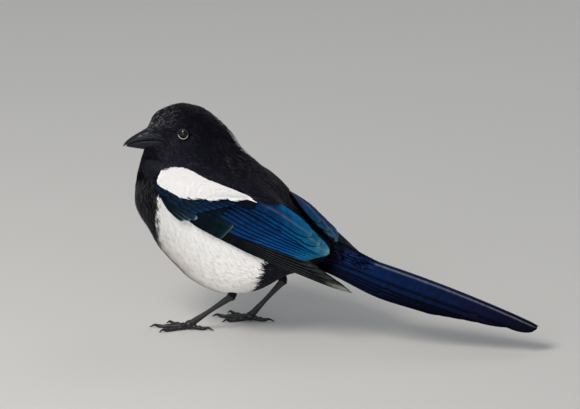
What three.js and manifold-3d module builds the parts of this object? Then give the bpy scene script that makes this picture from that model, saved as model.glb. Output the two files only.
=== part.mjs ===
// A Eurasian magpie as a still, life-size model, standing with one foot forward and its head
// turned a little to its left. Millimetres, +Z up, bill towards -X, the bird's left towards -Y.
// The origin is on the floor, under the middle of the bird's length.
import * as THREE from "three";
import { mergeVertices } from "three/addons/utils/BufferGeometryUtils.js";
import Module from "manifold-3d";

const wasm = await Module();
wasm.setup();
const { Manifold, Mesh } = wasm;

const GAP = 0.3; // between two pieces that meet
const VANE = 0.5; // thickness of a feather vane
const LEFT = -1; // the side of the bird, as the sign of Y
const RIGHT = 1;

// Body outline. Each station is a slice across the bird from its back to its front or belly,
// fanned from the face round to the tail root. "top" and "bottom" are the slice's ends as
// [x, z], and "half" its half widths at 20, 50 and 80 % of the way down.
const STATIONS = [
  { at: "face", top: [-177, 190], bottom: [-178.5, 172.5], half: [3.4, 3.8, 4.4] },
  { at: "bill base", top: [-175, 194.5], bottom: [-177, 169], half: [5.5, 5, 6] },
  { at: "brow", top: [-167, 207.5], bottom: [-181, 163.5], half: [9.5, 5.5, 5] },
  { at: "crown", top: [-147.5, 215], bottom: [-185, 149], half: [15.5, 6.5, 7.5] },
  { at: "cheek", top: [-134, 213.5], bottom: [-186.5, 140], half: [18, 8, 17] },
  { at: "ear", top: [-120.5, 209], bottom: [-187.5, 132], half: [19.5, 19, 28] },
  { at: "nape", top: [-101.5, 192.5], bottom: [-188, 115], half: [23.5, 32, 38] },
  { at: "shoulder", top: [-88, 175.5], bottom: [-183.5, 104], half: [29, 39, 42.5] },
  { at: "mantle", top: [-75.5, 165.5], bottom: [-175.5, 92], half: [35, 43, 44.5] },
  { at: "back", top: [-57.5, 149.5], bottom: [-166, 75.5], half: [38, 45.5, 45.5] },
  { at: "keel", top: [-42, 131], bottom: [-151.5, 59.5], half: [38, 46, 45.5] },
  { at: "belly", top: [-29, 113], bottom: [-132.5, 43.5], half: [35, 43.5, 43] },
  { at: "thigh", top: [-19, 100], bottom: [-105, 33.5], half: [30, 38.5, 37.5] },
  { at: "vent", top: [-12.5, 99], bottom: [-72.5, 38.5], half: [23, 30.5, 30] },
  { at: "under tail", top: [-5.7, 94.2], bottom: [-41, 57], half: [16.5, 20.5, 21] },
  { at: "tail root", top: [1, 91], bottom: [-11, 61.5], half: [12, 13, 12] },
];
const LAST = STATIONS.length - 1;
const SLICES = 26; // slices along the body
const AROUND = 20; // points round a slice

// The head turns about an upright axis through the neck, fully above one slanted line of the
// side view and not at all below another.
const HEAD_TURN = THREE.MathUtils.degToRad(14);
const NECK_X = -131.8;
const TURN_NORMAL = [-0.407, 0.914];
const TURN_FROM = 182;
const TURN_FULL = 217;

// Cuts that part the body, each through two points of the side view.
const CUTS = {
  headNeck: [[-183.5, 158.2], [-100.2, 192.6]],
  neckBody: [[-191, 111], [-79, 165]],
  breastBelly: [[-170, 92], [-159, 147]],
  bellyRump: [[-89.5, 32.4], [-62, 88]],
  rumpTail: [[-13.5, 58], [-1.5, 84]],
  mantleBelly: [[-160.6, 140.5], [21.6, 52.3]],
};

// Wing frame: a straight axis from the wrist to the wing tip, seen from the side. A point of
// the wing has a distance along the axis, an angle round it from the back (0) to the belly
// (180), and a height over what it lies on.
const AXIS_START = new THREE.Vector3(-160.6, 0, 140.5);
const AXIS_END = new THREE.Vector3(21.6, 0, 52.3);
const WING_TIP = 206; // distance of the longest primary's tip along the axis
const TIP_SIDE = 24.5; // half width of the folded wings at the tip
const SIDE_FLARE = 0.14; // growth of that half width for each millimetre forward
const MOST_SIDE = 41;
const TIP_UP = { [LEFT]: 14, [RIGHT]: 12 };
const UP_FLARE = { [LEFT]: 0.31, [RIGHT]: 0.255 };
const MOST_UP = 46;
const BLEND = 4; // how softly the wing's own surface meets the body's

// The right wing lies nearer the back than the left one, by this many degrees from mid wing on
// and by more at its tip, and its back-side shoulder stands up in a ridge.
const RIGHT_LIFT = 18;
const RIGHT_TIP_LIFT = 30;
const RIGHT_RIDGE = 7;

const HEADING = new THREE.Vector3().subVectors(AXIS_END, AXIS_START).normalize();
const BACKWARD_UP = new THREE.Vector3(-HEADING.z, 0, HEADING.x);

const deg = THREE.MathUtils.degToRad;
const lerp = THREE.MathUtils.lerp;
const smooth = THREE.MathUtils.smoothstep;
const v3 = (x, y, z) => new THREE.Vector3(x, y, z);

const curveOf = (read) => new THREE.CatmullRomCurve3(STATIONS.map(read), false, "catmullrom", 0.5);
const topCurve = curveOf((s) => v3(s.top[0], 0, s.top[1]));
const bottomCurve = curveOf((s) => v3(s.bottom[0], 0, s.bottom[1]));
const halfCurve = curveOf((s) => v3(...s.half));

// Closed solids from rings

// A closed surface over rings of equal, even point counts. Quads of the second half of the ring
// are split the other way, so that a thin vane's two faces match. Each end is closed by a strip
// from one half of the ring to the other, which also fits a thin curved ring.
function ringSolid(rings) {
  const count = rings[0].length;
  const positions = [];
  const index = [];
  rings.flat().forEach((p) => positions.push(p.x, p.y, p.z));
  for (let r = 0; r < rings.length - 1; r++) {
    for (let i = 0; i < count; i++) {
      const a = r * count + i;
      const b = r * count + ((i + 1) % count);
      const [c, d] = [a + count, b + count];
      if (i < count / 2) index.push(a, b, d, a, d, c);
      else index.push(a, b, c, b, d, c);
    }
  }
  const end = (rings.length - 1) * count;
  for (let i = 0; i < count / 2 - 1; i++) {
    const [next, far, farNext] = [i + 1, count - 1 - i, count - 2 - i];
    index.push(i, farNext, next, i, far, farNext);
    index.push(end + i, end + next, end + farNext, end + i, end + farNext, end + far);
  }
  return solidOf(positions, index);
}

function solidOf(positions, index, weld = 1e-4) {
  const g = new THREE.BufferGeometry();
  g.setAttribute("position", new THREE.Float32BufferAttribute(positions, 3));
  g.setIndex([...index]);
  const merged = mergeVertices(g, weld);
  const triVerts = new Uint32Array(merged.index.array);
  const vertProperties = merged.attributes.position.array;
  const made = new Manifold(new Mesh({ numProp: 3, vertProperties, triVerts }));
  if (made.volume() > 0) return made;
  for (let i = 0; i < triVerts.length; i += 3) {
    [triVerts[i + 1], triVerts[i + 2]] = [triVerts[i + 2], triVerts[i + 1]];
  }
  return new Manifold(new Mesh({ numProp: 3, vertProperties, triVerts }));
}

// A three.js geometry as a solid, after an optional change of place.
function solidFrom(geometry, matrix = new THREE.Matrix4()) {
  const g = geometry.toNonIndexed().applyMatrix4(matrix);
  return solidOf([...g.attributes.position.array], [...Array(g.attributes.position.count).keys()]);
}

const union = (solids) => Manifold.union(solids);
const largest = (solid) =>
  solid.decompose().reduce((best, s) => (s.volume() > best.volume() ? s : best));

// The part of a solid on one side of a line of the side view, half a gap clear of it.
// side 1 keeps what lies to the left of the way from the first point to the second.
function keepSide(solid, [from, to], side) {
  const along = v3(to[0] - from[0], 0, to[1] - from[1]).normalize();
  const normal = v3(-along.z, 0, along.x).multiplyScalar(side);
  const offset = normal.x * from[0] + normal.z * from[1] + GAP / 2;
  return solid.trimByPlane([normal.x, 0, normal.z], offset);
}

// The body and what it gives to the pieces that lie on it

// Half width of a slice at a share f of the way down, over the value on an ellipse.
function halfWidth(t, f) {
  const { x: a, y: b, z: c } = halfCurve.getPoint(t);
  const upper = ((f - 0.5) * (f - 0.8)) / 0.18;
  const middle = ((f - 0.2) * (f - 0.8)) / -0.09;
  const lower = ((f - 0.2) * (f - 0.5)) / 0.18;
  return a * upper + b * middle + c * lower;
}

function turnShare(x, z) {
  return smooth(TURN_NORMAL[0] * x + TURN_NORMAL[1] * z, TURN_FROM, TURN_FULL);
}

function turned(p, share) {
  const angle = HEAD_TURN * share;
  const [dx, dy] = [p.x - NECK_X, p.y];
  return v3(
    NECK_X + dx * Math.cos(angle) - dy * Math.sin(angle),
    dx * Math.sin(angle) + dy * Math.cos(angle),
    p.z,
  );
}

const turnHead = (p) => turned(p, turnShare(p.x, p.z));

function unturnHead(p) {
  let rest = p.clone();
  for (let i = 0; i < 4; i++) rest = turned(p, -turnShare(rest.x, rest.z));
  return rest;
}

// A slice's ring of points, grown outwards by "grow".
function sliceRing(t, grow) {
  const top = topCurve.getPoint(t);
  const bottom = bottomCurve.getPoint(t);
  const down = v3().subVectors(bottom, top).normalize();
  top.addScaledVector(down, -grow);
  bottom.addScaledVector(down, grow);
  const ring = [];
  for (let i = 0; i < AROUND; i++) {
    const angle = (2 * Math.PI * i) / AROUND;
    const f = (1 - Math.cos(angle)) / 2;
    const p = v3().lerpVectors(top, bottom, f);
    p.y = Math.sin(angle) * (halfWidth(t, f) + grow);
    ring.push(turnHead(p));
  }
  return ring;
}

function bodySolid(grow = 0) {
  const rings = [];
  for (let i = 0; i <= SLICES; i++) rings.push(sliceRing(i / SLICES, grow));
  return ringSolid(rings);
}

function insideBody(point) {
  const p = unturnHead(point);
  let [low, high] = [0, 1];
  for (let i = 0; i < 16; i++) {
    const t = (low + high) / 2;
    const top = topCurve.getPoint(t);
    const bottom = bottomCurve.getPoint(t);
    const across = (bottom.x - top.x) * (p.z - top.z) - (bottom.z - top.z) * (p.x - top.x);
    if (across > 0) low = t;
    else high = t;
  }
  if (low === 0 || high === 1) return false;
  const top = topCurve.getPoint(low);
  const bottom = bottomCurve.getPoint(low);
  const f = (p.z - top.z) / (bottom.z - top.z);
  if (f <= 0 || f >= 1) return false;
  return Math.abs(p.y) < 2 * Math.sqrt(f * (1 - f)) * halfWidth(low, f);
}

function wingDirection(angle, side) {
  return v3()
    .addScaledVector(BACKWARD_UP, Math.cos(angle))
    .add(v3(0, side * Math.sin(angle), 0));
}

function bodyReach(centre, direction) {
  if (!insideBody(centre)) return 0;
  let [low, high] = [0, 90];
  for (let i = 0; i < 14; i++) {
    const r = (low + high) / 2;
    if (insideBody(centre.clone().addScaledVector(direction, r))) low = r;
    else high = r;
  }
  return low;
}

// A point on the folded wing: distance s along the axis, angle in degrees, height in mm.
function wingPoint(side, s, degrees, height) {
  const lifted = side === RIGHT ? 1 : 0;
  const lift = lifted * (RIGHT_LIFT * smooth(s, 60, 125) + RIGHT_TIP_LIFT * smooth(s, 130, 206));
  const own = degrees - lift;
  const across = smooth(own, -5, 34) * (1 - smooth(own, 50, 100));
  const ridge = lifted * RIGHT_RIDGE * smooth(s, 85, 135) * across;
  const angle = deg(own);
  const centre = AXIS_START.clone().addScaledVector(HEADING, s);
  const direction = wingDirection(angle, side);
  const sideways = Math.min(MOST_SIDE, TIP_SIDE + SIDE_FLARE * (WING_TIP - s));
  const upwards = Math.min(MOST_UP, TIP_UP[side] + UP_FLARE[side] * (WING_TIP - s));
  const free = ridge + 1 / Math.hypot(Math.cos(angle) / upwards, Math.sin(angle) / sideways);
  const body = bodyReach(centre, direction);
  const gap = Math.max(0, BLEND - Math.abs(body - free)) / BLEND;
  const base = Math.max(body, free) + (gap * gap * BLEND) / 4;
  return centre.addScaledVector(direction, base + height);
}

// Feathers

// Share of the full width along a vane, from root (0) to tip (1).
function vaneShape(u, rootShare, full, tipLength, taper) {
  const grown = lerp(rootShare, 1, smooth(u, 0, full)) * (1 - taper * smooth(u, full, 1));
  const past = Math.max(0, (u - (1 - tipLength)) / tipLength);
  return grown * Math.sqrt(Math.max(0.02, 1 - past * past));
}

// A vane over a surface given by place(u, across, height), with six points a ring and, if
// asked, a ridge along the shaft. The last two rings round off the tip.
function vaneSolid({ place, width, ridge = 0, rings = 5, ...shape }) {
  const { rootShare = 0.5, full = 0.45, tipLength = 0.16, taper = 0 } = shape;
  const made = [];
  const long = rings - 2;
  for (let i = 0; i < rings; i++) {
    const along = i < long ? (i / (long - 1)) * (1 - tipLength * 0.8) : 1;
    const u = i === long ? 1 - tipLength * 0.3 : along;
    const w = width * vaneShape(u, rootShare, full, tipLength, taper);
    made.push([
      place(u, -w, VANE),
      place(u, 0, VANE + ridge * (1 - u)),
      place(u, w, VANE),
      place(u, w, 0),
      place(u, 0, 0),
      place(u, -w, 0),
    ]);
  }
  return ringSolid(made);
}

// Wing feathers: root and tip as [distance, angle], belly and back as the heights of the
// vane's belly-side and back-side edges, so that neighbours overlap like shingles. The root
// lies deeper by the given drop.
function wingVane(side, { root, tip, width, belly, back, drop = 1, bow = 0, ...shape }) {
  const place = (u, across, height) => {
    const s = lerp(root[0], tip[0], u);
    const middle = lerp(root[1], tip[1], u) + bow * Math.sin(Math.PI * u);
    const radius = TIP_SIDE + SIDE_FLARE * (WING_TIP - s);
    const degrees = middle + THREE.MathUtils.radToDeg(across / radius);
    const rise = lerp(back, belly, 0.5 + across / (2 * width));
    return wingPoint(side, s, degrees, rise - drop * (1 - smooth(u, 0, 0.4)) + height);
  };
  return vaneSolid({ place, width, ...shape });
}

// A patch of the wing frame as a slab whose upper face swells in the middle.
function wingPatch(side, { from, to, upper, lower, floor, swell, steps = 6, across = 4 }) {
  const rings = [];
  for (let i = 0; i <= steps; i++) {
    const u = i / steps;
    const s = lerp(from, to, u);
    const [a, b] = [upper(s), lower(s)];
    const ends = Math.sqrt(Math.sin(Math.PI * lerp(0.04, 0.96, u)));
    const over = [];
    const under = [];
    for (let j = 0; j <= across; j++) {
      const v = j / across;
      const rise = VANE + swell * ends * Math.sqrt(Math.sin(Math.PI * lerp(0.03, 0.97, v)));
      const bottom = floor(s, lerp(a, b, v));
      over.push(wingPoint(side, s, lerp(a, b, v), bottom + rise));
      under.unshift(wingPoint(side, s, lerp(a, b, v), bottom));
    }
    rings.push([...over, ...under]);
  }
  return ringSolid(rings);
}

// The folded wing's lower edge and the upper edge of its covert part, in degrees.
const lowerEdge = (s) =>
  80 + 19 * smooth(s, -2, 21) - 3 * smooth(s, 21, 42) - 13 * smooth(s, 84, 190);
const covertEdge = (s) => 69 - 22 * smooth(s, 0, 62);
const SEAT = 1.3; // height of the wing's underside over the body
const COVERT_SWELL = 2;

const PRIMARIES = 5;
const PRIMARY_STEPS = [4, 10, 15, 17]; // from one primary's tip to the next
const SHORT_PRIMARY = 150; // the outermost one's tip
const SECONDARIES = 4;
const TERTIALS = 3;
const TERTIAL_LAYER = 0.6;
const GREATER_COVERTS = 4;
const PRIMARY_COVERTS = 3;
const ALULA = 2;

function primaries(side) {
  const made = [wingVane(side, {
    root: [60, 95.5], tip: [SHORT_PRIMARY, 88], width: 4, belly: 2.9, back: 0.9, drop: 0.4,
  })];
  let tip = WING_TIP;
  for (let k = 0; k < PRIMARIES; k++) {
    made.push(wingVane(side, {
      root: [60, 93.5 - 4.6 * k], tip: [tip, 85.5 - 5.6 * k],
      width: 4.5, belly: 3.8, back: 1.4, bow: 2, tipLength: 0.1,
    }));
    tip -= PRIMARY_STEPS[k];
  }
  return made;
}

function secondaries(side) {
  const made = [];
  for (let k = 0; k < SECONDARIES; k++) {
    made.push(wingVane(side, {
      root: [42 + 5 * k, 79.5 - 6.8 * k], tip: [160 + 3.3 * k, 62 - 5 * k],
      width: 5.6, belly: 4.5, back: 2, drop: 2.2, bow: 2.5, tipLength: 0.1,
    }));
  }
  for (let k = 0; k < TERTIALS; k++) {
    const layer = TERTIAL_LAYER * k;
    made.push(wingVane(side, {
      root: [56, 54 - 2 * k], tip: [170 - 11 * k, 43 - 4 * k], width: 9 - 0.6 * k,
      belly: 4.6 + layer, back: 2.9 + layer, drop: 2, bow: -5, rootShare: 0.5, full: 0.6,
    }));
  }
  return made;
}

function coverts(side) {
  const made = [];
  for (let k = 0; k < GREATER_COVERTS; k++) {
    made.push(wingVane(side, {
      root: [30 + 7.5 * k, 79 - 10 * k], tip: [51 + 10 * k, 80 - 10.6 * k], width: 7.4,
      belly: 5.1, back: 3.6, drop: 2.4, rings: 4, tipLength: 0.3, rootShare: 0.8,
    }));
  }
  for (let k = 0; k < PRIMARY_COVERTS; k++) {
    made.push(wingVane(side, {
      root: [34, 94 - 3.6 * k], tip: [76.5 + 1.5 * k, 92 - 6.4 * k], width: 4.4,
      belly: 4.9, back: 3.4, drop: 2.2, rings: 4, tipLength: 0.2, rootShare: 0.8,
    }));
  }
  for (let k = 0; k < ALULA; k++) {
    made.push(wingVane(side, {
      root: [4, 87 - 2 * k], tip: [40 + 7 * k, 96 - 6 * k], width: 4, bow: 2,
      belly: 4.8 + 0.5 * k, back: 3.6 + 0.5 * k, drop: 2.2, rings: 4, tipLength: 0.25,
    }));
  }
  return made;
}

function wingSolid(side, body) {
  const core = wingPatch(side, {
    from: -4, to: 68, upper: covertEdge, lower: lowerEdge, floor: () => SEAT, swell: COVERT_SWELL,
  });
  const feathers = [...primaries(side), ...secondaries(side), ...coverts(side)];
  return largest(union([core, ...feathers]).subtract(body));
}

// The white shoulder patch: a swelling of small feathers that ends in separate tips.
const SCAPULAR_FROM = -5;
const SCAPULAR_TO = 72;
const SCAPULAR_TIPS = 6;
const SCAPULAR_SWELL = 2.4;
const OVER_WING = 3.2; // rise of its underside where the wing lies under it
const OVER_COVERTS = 2.2; // and a further one over the greater coverts
const scapularUpper = (s) => 44 + 11 * Math.exp((SCAPULAR_FROM - s) / 2) - 9 * smooth(s, 40, 95);
const scapularLower = (s) => 73 + 7 * smooth(s, SCAPULAR_FROM, 10) - 42 * smooth(s, 16, 95);
function scapularFloor(s, degrees) {
  const overWing = OVER_WING * smooth(degrees, covertEdge(s) - 9, covertEdge(s) - 3);
  const edge = scapularLower(s);
  const overCoverts = OVER_COVERTS * smooth(s, 12, 30) * smooth(degrees, edge - 18, edge - 9);
  return SEAT + overWing + overCoverts;
}

function scapularSolid(side) {
  const core = wingPatch(side, {
    from: SCAPULAR_FROM, to: SCAPULAR_TO,
    upper: scapularUpper, lower: scapularLower, floor: scapularFloor, swell: SCAPULAR_SWELL,
  });
  const tips = [];
  for (let k = 0; k < SCAPULAR_TIPS; k++) {
    const s = lerp(38, 87, k / (SCAPULAR_TIPS - 1));
    const floor = SEAT + OVER_WING + OVER_COVERTS;
    const start = Math.max(scapularLower(s) - 11, scapularUpper(s - 20) + 4);
    tips.push(wingVane(side, {
      root: [s - 20, start], tip: [s, scapularLower(s) + 0.5],
      width: 3.6, belly: floor + 0.6, back: floor + 0.6, rings: 4, tipLength: 0.5,
      drop: floor + 0.2 - scapularFloor(s - 20, start),
    }));
  }
  return largest(union([core, ...tips]));
}

// Tail: six pairs of feathers, the middle pair longest, folded into an arch and rolled a
// little towards the bird's left.
const TAIL_START = v3(-1, 0, 84.7); // the ridge of the arch at the root
const TAIL_SLOPE = deg(12.4);
const TAIL_BEND = deg(0.043); // more slope for each millimetre
const TAIL_ROLL = deg(20);
const ARCH_START = deg(26);
const ARCH_GROWTH = deg(0.75);
const RIDGE_ROUND = 4; // heights lean out by the arch's first angle from here on
const TAIL_PAIRS = 6;
const TAIL_LENGTHS = [206.7, 189, 172, 157, 145, 134];
const TAIL_CENTRES = [2.6, 7.5, 9.5, 11.5, 13, 14.5];
const TAIL_HALF_WIDTH = 12.2;
const TAIL_TAPER = 0.24; // share of its width that a feather loses towards its tip
const TAIL_LAYER = 0.62; // from one feather down to the one under it

// A point of the tail: s from the root, q round the arch from its ridge, h over the arch.
function tailPoint(s, q, h) {
  const turn = TAIL_SLOPE + (TAIL_BEND * s) / 2;
  const slope = TAIL_SLOPE + TAIL_BEND * s;
  const ridge = TAIL_START.clone().add(v3(s * Math.cos(turn), 0, -s * Math.sin(turn)));
  const side = Math.sign(q);
  const steps = 8;
  const step = Math.abs(q) / steps;
  let [y, z, angle] = [0, 0, ARCH_START];
  for (let i = 0; i < steps; i++) {
    angle = ARCH_START + ARCH_GROWTH * step * (i + 0.5);
    y += step * Math.cos(angle);
    z -= step * Math.sin(angle);
  }
  const lean = ARCH_START * Math.min(1, Math.abs(q) / RIDGE_ROUND) + ARCH_GROWTH * Math.abs(q);
  y = side * (y + h * Math.sin(lean));
  z += h * Math.cos(lean);
  const rolledY = y * Math.cos(TAIL_ROLL) + z * Math.sin(TAIL_ROLL);
  const rolledZ = y * Math.sin(TAIL_ROLL) + z * Math.cos(TAIL_ROLL);
  return ridge.add(v3(rolledZ * Math.sin(slope), rolledY, rolledZ * Math.cos(slope)));
}

function tailVane(pair, side) {
  const layer = pair * 2 + (side === LEFT ? 0 : 1);
  const place = (u, across, height) => {
    const s = lerp(-9, TAIL_LENGTHS[pair], u);
    const middle = TAIL_CENTRES[pair] * lerp(0.3, 1, smooth(s, 0, 110));
    // an outer feather's inner half stops short of the arch's ridge
    const inner = pair === 0 ? 1 : Math.min(1, (middle - 0.5) / TAIL_HALF_WIDTH);
    const q = side * (middle + (across < 0 ? across * inner : across));
    return tailPoint(s, q, height - TAIL_LAYER * layer);
  };
  return vaneSolid({
    place, width: TAIL_HALF_WIDTH, rings: 5, rootShare: 0.28, tipLength: pair === 0 ? 0.12 : 0.1,
    taper: TAIL_TAPER, ridge: layer === 0 ? 0.4 : 0,
  });
}

// The coverts round the tail root taper to nothing under and over the tail feathers. Each pair
// is a size at the root and one at the coverts' tips.
const COVERTS_REACH = [-6, 42];
const COVERTS_HALF_WIDTH = [11.5, 9];
const COVERTS_ABOVE = [8, 2.4];
const COVERTS_BELOW = [17, 5];
const COVERTS_UNDER = 2; // from the arch down to where the lower coverts start

function tailRootSolid() {
  const rings = [];
  const steps = 5;
  const around = 14; // from one side over to the other, so that the ends close up and down
  for (let i = 0; i <= steps; i++) {
    const u = i / steps;
    const fade = Math.sqrt(1 - 0.96 * u * u);
    const ring = [];
    for (let j = 0; j < around; j++) {
      const angle = Math.PI / 2 + (2 * Math.PI * (j + 0.5)) / around;
      const up = Math.cos(angle);
      const reach = up > 0 ? COVERTS_ABOVE : COVERTS_BELOW;
      const height = up * lerp(...reach, u) * fade - (up > 0 ? 0 : COVERTS_UNDER);
      const across = Math.sin(angle) * lerp(...COVERTS_HALF_WIDTH, u);
      ring.push(tailPoint(lerp(...COVERTS_REACH, u), across, height));
    }
    rings.push(ring);
  }
  return ringSolid(rings);
}

function tailSolid() {
  const feathers = [];
  for (let pair = 0; pair < TAIL_PAIRS; pair++) {
    for (const side of [LEFT, RIGHT]) feathers.push(tailVane(pair, side));
  }
  return largest(keepSide(union([tailRootSolid(), ...feathers]), CUTS.rumpTail, -1));
}

// Bill

// Rows are x, top, bottom and half width, from the tip back into the head.
const UPPER_BILL = [
  [-198.6, 174.6, 173.7, 0.5],
  [-196.8, 177.8, 175.4, 1.4],
  [-193, 181.4, 177.1, 2.7],
  [-188, 184.9, 179.4, 4],
  [-181, 189.1, 181.2, 5.4],
  [-173, 192.6, 182.1, 6.6],
  [-164, 194, 182, 7.4],
  [-156, 192.5, 180, 7.2],
];
const LOWER_BILL = [
  [-195.8, 175.2, 174.3, 0.6],
  [-192, 177.1, 173.4, 1.9],
  [-186, 179.5, 172.4, 3.3],
  [-179, 181, 171.4, 4.6],
  [-171, 181.7, 170.4, 5.8],
  [-162, 181.4, 170.2, 6.7],
  [-155, 178.9, 170.8, 6.6],
];
const MOUTH = [
  [-186, 179.7],
  [-171, 182.1],
  [-163, 181.7],
  [-157.8, 180.3],
  [-152.5, 177.9],
];
const BILL_AROUND = 12;
const BILL_FLAT = 0.25; // the smaller, the flatter the faces that meet at the mouth

// A point round the bill at a row, angle 0 at the top. round 1 is an upper bill, arched above
// and flat below, and round -1 a lower bill.
function billPoint([x, top, bottom, half], round, angle, grow) {
  const [up, out] = [Math.cos(angle), Math.sin(angle)];
  const flat = up * round < 0 && Math.abs(up) > 0.01;
  const height = flat ? Math.sign(up) * Math.pow(Math.abs(up), BILL_FLAT) : up;
  const waist = 0.5 - 0.22 * round;
  const reach = (top - bottom) * (height > 0 ? 1 - waist : waist);
  return v3(x, out * (half + grow), lerp(bottom, top, waist) + height * reach + up * grow);
}

function billSolid(rows, round, grow = 0) {
  const ends = grow ? [rows[0], ...rows, rows[rows.length - 1]] : rows;
  const rings = ends.map((row, r) => {
    const ring = [];
    for (let i = 0; i < BILL_AROUND; i++) {
      const p = billPoint(row, round, (2 * Math.PI * i) / BILL_AROUND, grow);
      if (grow && r === 0) p.x -= grow;
      if (grow && r === ends.length - 1) p.x += grow;
      ring.push(turnHead(p));
    }
    return ring;
  });
  return ringSolid(rings);
}

// A thin cutter along the mouth line, which goes on from the bill into the cheek.
function mouthCutter() {
  const rings = MOUTH.map(([x, z]) => {
    const ring = [];
    for (const [y, dz] of [[-30, 0.4], [30, 0.4], [30, -0.4], [-30, -0.4]]) {
      ring.push(turnHead(v3(x, y, z + dz)));
    }
    return ring;
  });
  return ringSolid(rings);
}

function nostrilCutter(side) {
  const ball = new THREE.SphereGeometry(1, 8, 6);
  const at = turnHead(v3(-182.5, side * 4.6, 186.6));
  const m = new THREE.Matrix4().compose(
    at,
    new THREE.Quaternion().setFromAxisAngle(v3(0, 1, 0), deg(22)),
    v3(2, 0.9, 0.8),
  );
  return solidFrom(ball, m);
}

// Bristles that lie forwards over the base of the upper bill, the topmost the longest.
const BRISTLES = 5;
const BRISTLE_ROOT_X = -161;
const BRISTLE_TIP_X = -182;

function upperBillRow(x) {
  const r = UPPER_BILL.findIndex((row) => row[0] >= x);
  const [a, b] = [UPPER_BILL[r - 1], UPPER_BILL[r]];
  const share = (x - a[0]) / (b[0] - a[0]);
  return a.map((value, i) => lerp(value, b[i], share));
}

function bristleSolid(side, k) {
  const share = k / (BRISTLES - 1);
  const tipX = BRISTLE_TIP_X + 7 * share * share;
  const rings = [];
  for (let i = 0; i <= 3; i++) {
    const u = i / 3;
    const row = upperBillRow(lerp(BRISTLE_ROOT_X, tipX, u));
    const angle = side * deg(lerp(16, 84, share));
    const spread = side * deg(lerp(11, 2, u));
    const lift = lerp(1.1, 0.5, u);
    rings.push([
      billPoint(row, 1, angle - spread, 0.1),
      billPoint(row, 1, angle, lift),
      billPoint(row, 1, angle + spread, 0.1),
      billPoint(row, 1, angle, -0.6),
    ].map(turnHead));
  }
  return ringSolid(rings);
}

// Eyes
const EYE_RADIUS = 6;
const EYE_X = -141.6;
const EYE_Z = 190.8;
const EYE_DEPTH = 11.3; // the eyeball's centre from the head's middle
const LID_RADIUS = 5;
const LID_THICKNESS = 1;
const LID_OUT = 4.1; // the lids' ring from the eyeball's centre

const eyeCentre = (side) => turnHead(v3(EYE_X, side * EYE_DEPTH, EYE_Z));
function eyeFacing(side) {
  const angle = HEAD_TURN;
  const rest = v3(-0.3, side, 0.06).normalize();
  return rest.applyAxisAngle(v3(0, 0, 1), angle);
}

function eyeSolid(side, grow = 0) {
  const ball = new THREE.SphereGeometry(EYE_RADIUS + grow, 14, 8);
  const facing = new THREE.Quaternion().setFromUnitVectors(v3(0, 1, 0), eyeFacing(side));
  return solidFrom(ball, new THREE.Matrix4().compose(eyeCentre(side), facing, v3(1, 1, 1)));
}

function lidSolid(side) {
  const ring = new THREE.TorusGeometry(LID_RADIUS, LID_THICKNESS, 4, 12);
  const facing = new THREE.Quaternion().setFromUnitVectors(v3(0, 0, 1), eyeFacing(side));
  const at = eyeCentre(side).addScaledVector(eyeFacing(side), LID_OUT);
  return solidFrom(ring, new THREE.Matrix4().compose(at, facing, v3(1, 1, 1)));
}

// Legs
const LEGS = {
  left: {
    side: LEFT, knee: v3(-90, -19, 60), hock: v3(-92, -17, 35.5), ball: v3(-132.9, -18.6, 4.4),
    heading: 183, thighRadius: 13,
  },
  right: {
    side: RIGHT, knee: v3(-64, 20, 64), hock: v3(-51, 17, 43), ball: v3(-83.7, 18.6, 4.4),
    heading: 180, thighRadius: 15,
  },
};
const HOCK_RADIUS = 3.6;
const SHANK_DEEP = 2.7; // half sizes of the shank, front to back and across
const SHANK_WIDE = 2.1;
const PAD_RADIUS = 4.6;

// Each toe: angle from the foot's heading, positive outwards, length and radius at its root.
const TOES = [
  { name: "inner", angle: -27, length: 21, radius: 2.3 },
  { name: "middle", angle: 3, length: 30, radius: 2.4 },
  { name: "outer", angle: 31, length: 24, radius: 2.2 },
  { name: "hind", angle: 178, length: 15, radius: 2.5 },
];
const CLAW_LENGTHS = { inner: 8, middle: 9.5, outer: 8, hind: 11 };
const TOE_TIP_RADIUS = 1.7;

// A round-sectioned limb along points, with a radius pair (deep, wide) at each.
function limbSolid(points, radii, around = 10) {
  const rings = points.map((p, i) => {
    const before = points[Math.max(0, i - 1)];
    const after = points[Math.min(points.length - 1, i + 1)];
    const along = v3().subVectors(after, before).normalize();
    const wide = v3(0, 1, 0).addScaledVector(along, -along.y).normalize();
    const deep = v3().crossVectors(along, wide);
    const ring = [];
    for (let j = 0; j < around; j++) {
      const a = (2 * Math.PI * j) / around;
      ring.push(
        p.clone()
          .addScaledVector(deep, Math.cos(a) * radii[i][0])
          .addScaledVector(wide, Math.sin(a) * radii[i][1]),
      );
    }
    return ring;
  });
  return ringSolid(rings);
}

const ballAt = (centre, radius, sides = 10) =>
  solidFrom(
    new THREE.SphereGeometry(radius, sides, Math.round(sides * 0.7)),
    new THREE.Matrix4().makeTranslation(centre.x, centre.y, centre.z),
  );

function thighSolid(leg, body) {
  const points = [];
  const radii = [];
  const steps = 4;
  for (let i = 0; i <= steps; i++) {
    const u = i / steps;
    points.push(v3().lerpVectors(leg.knee, leg.hock, u));
    const r = lerp(leg.thighRadius, HOCK_RADIUS + 0.8, Math.pow(u, 0.75));
    radii.push([r, r * 0.9]);
  }
  const cone = limbSolid(points, radii, 12);
  return largest(cone.subtract(body).subtract(shankSolid(leg, GAP)));
}

function shankSolid(leg, grow = 0) {
  const points = [];
  const radii = [];
  const steps = 5;
  for (let i = 0; i <= steps; i++) {
    const u = i / steps;
    points.push(v3().lerpVectors(leg.hock, leg.ball, u));
    const waist = 1 + 0.18 * Math.cos(2 * Math.PI * u);
    radii.push([SHANK_DEEP * waist + grow, SHANK_WIDE * waist + grow]);
  }
  return union([limbSolid(points, radii, 8), ballAt(leg.hock, HOCK_RADIUS + grow, 8)]);
}

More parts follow.
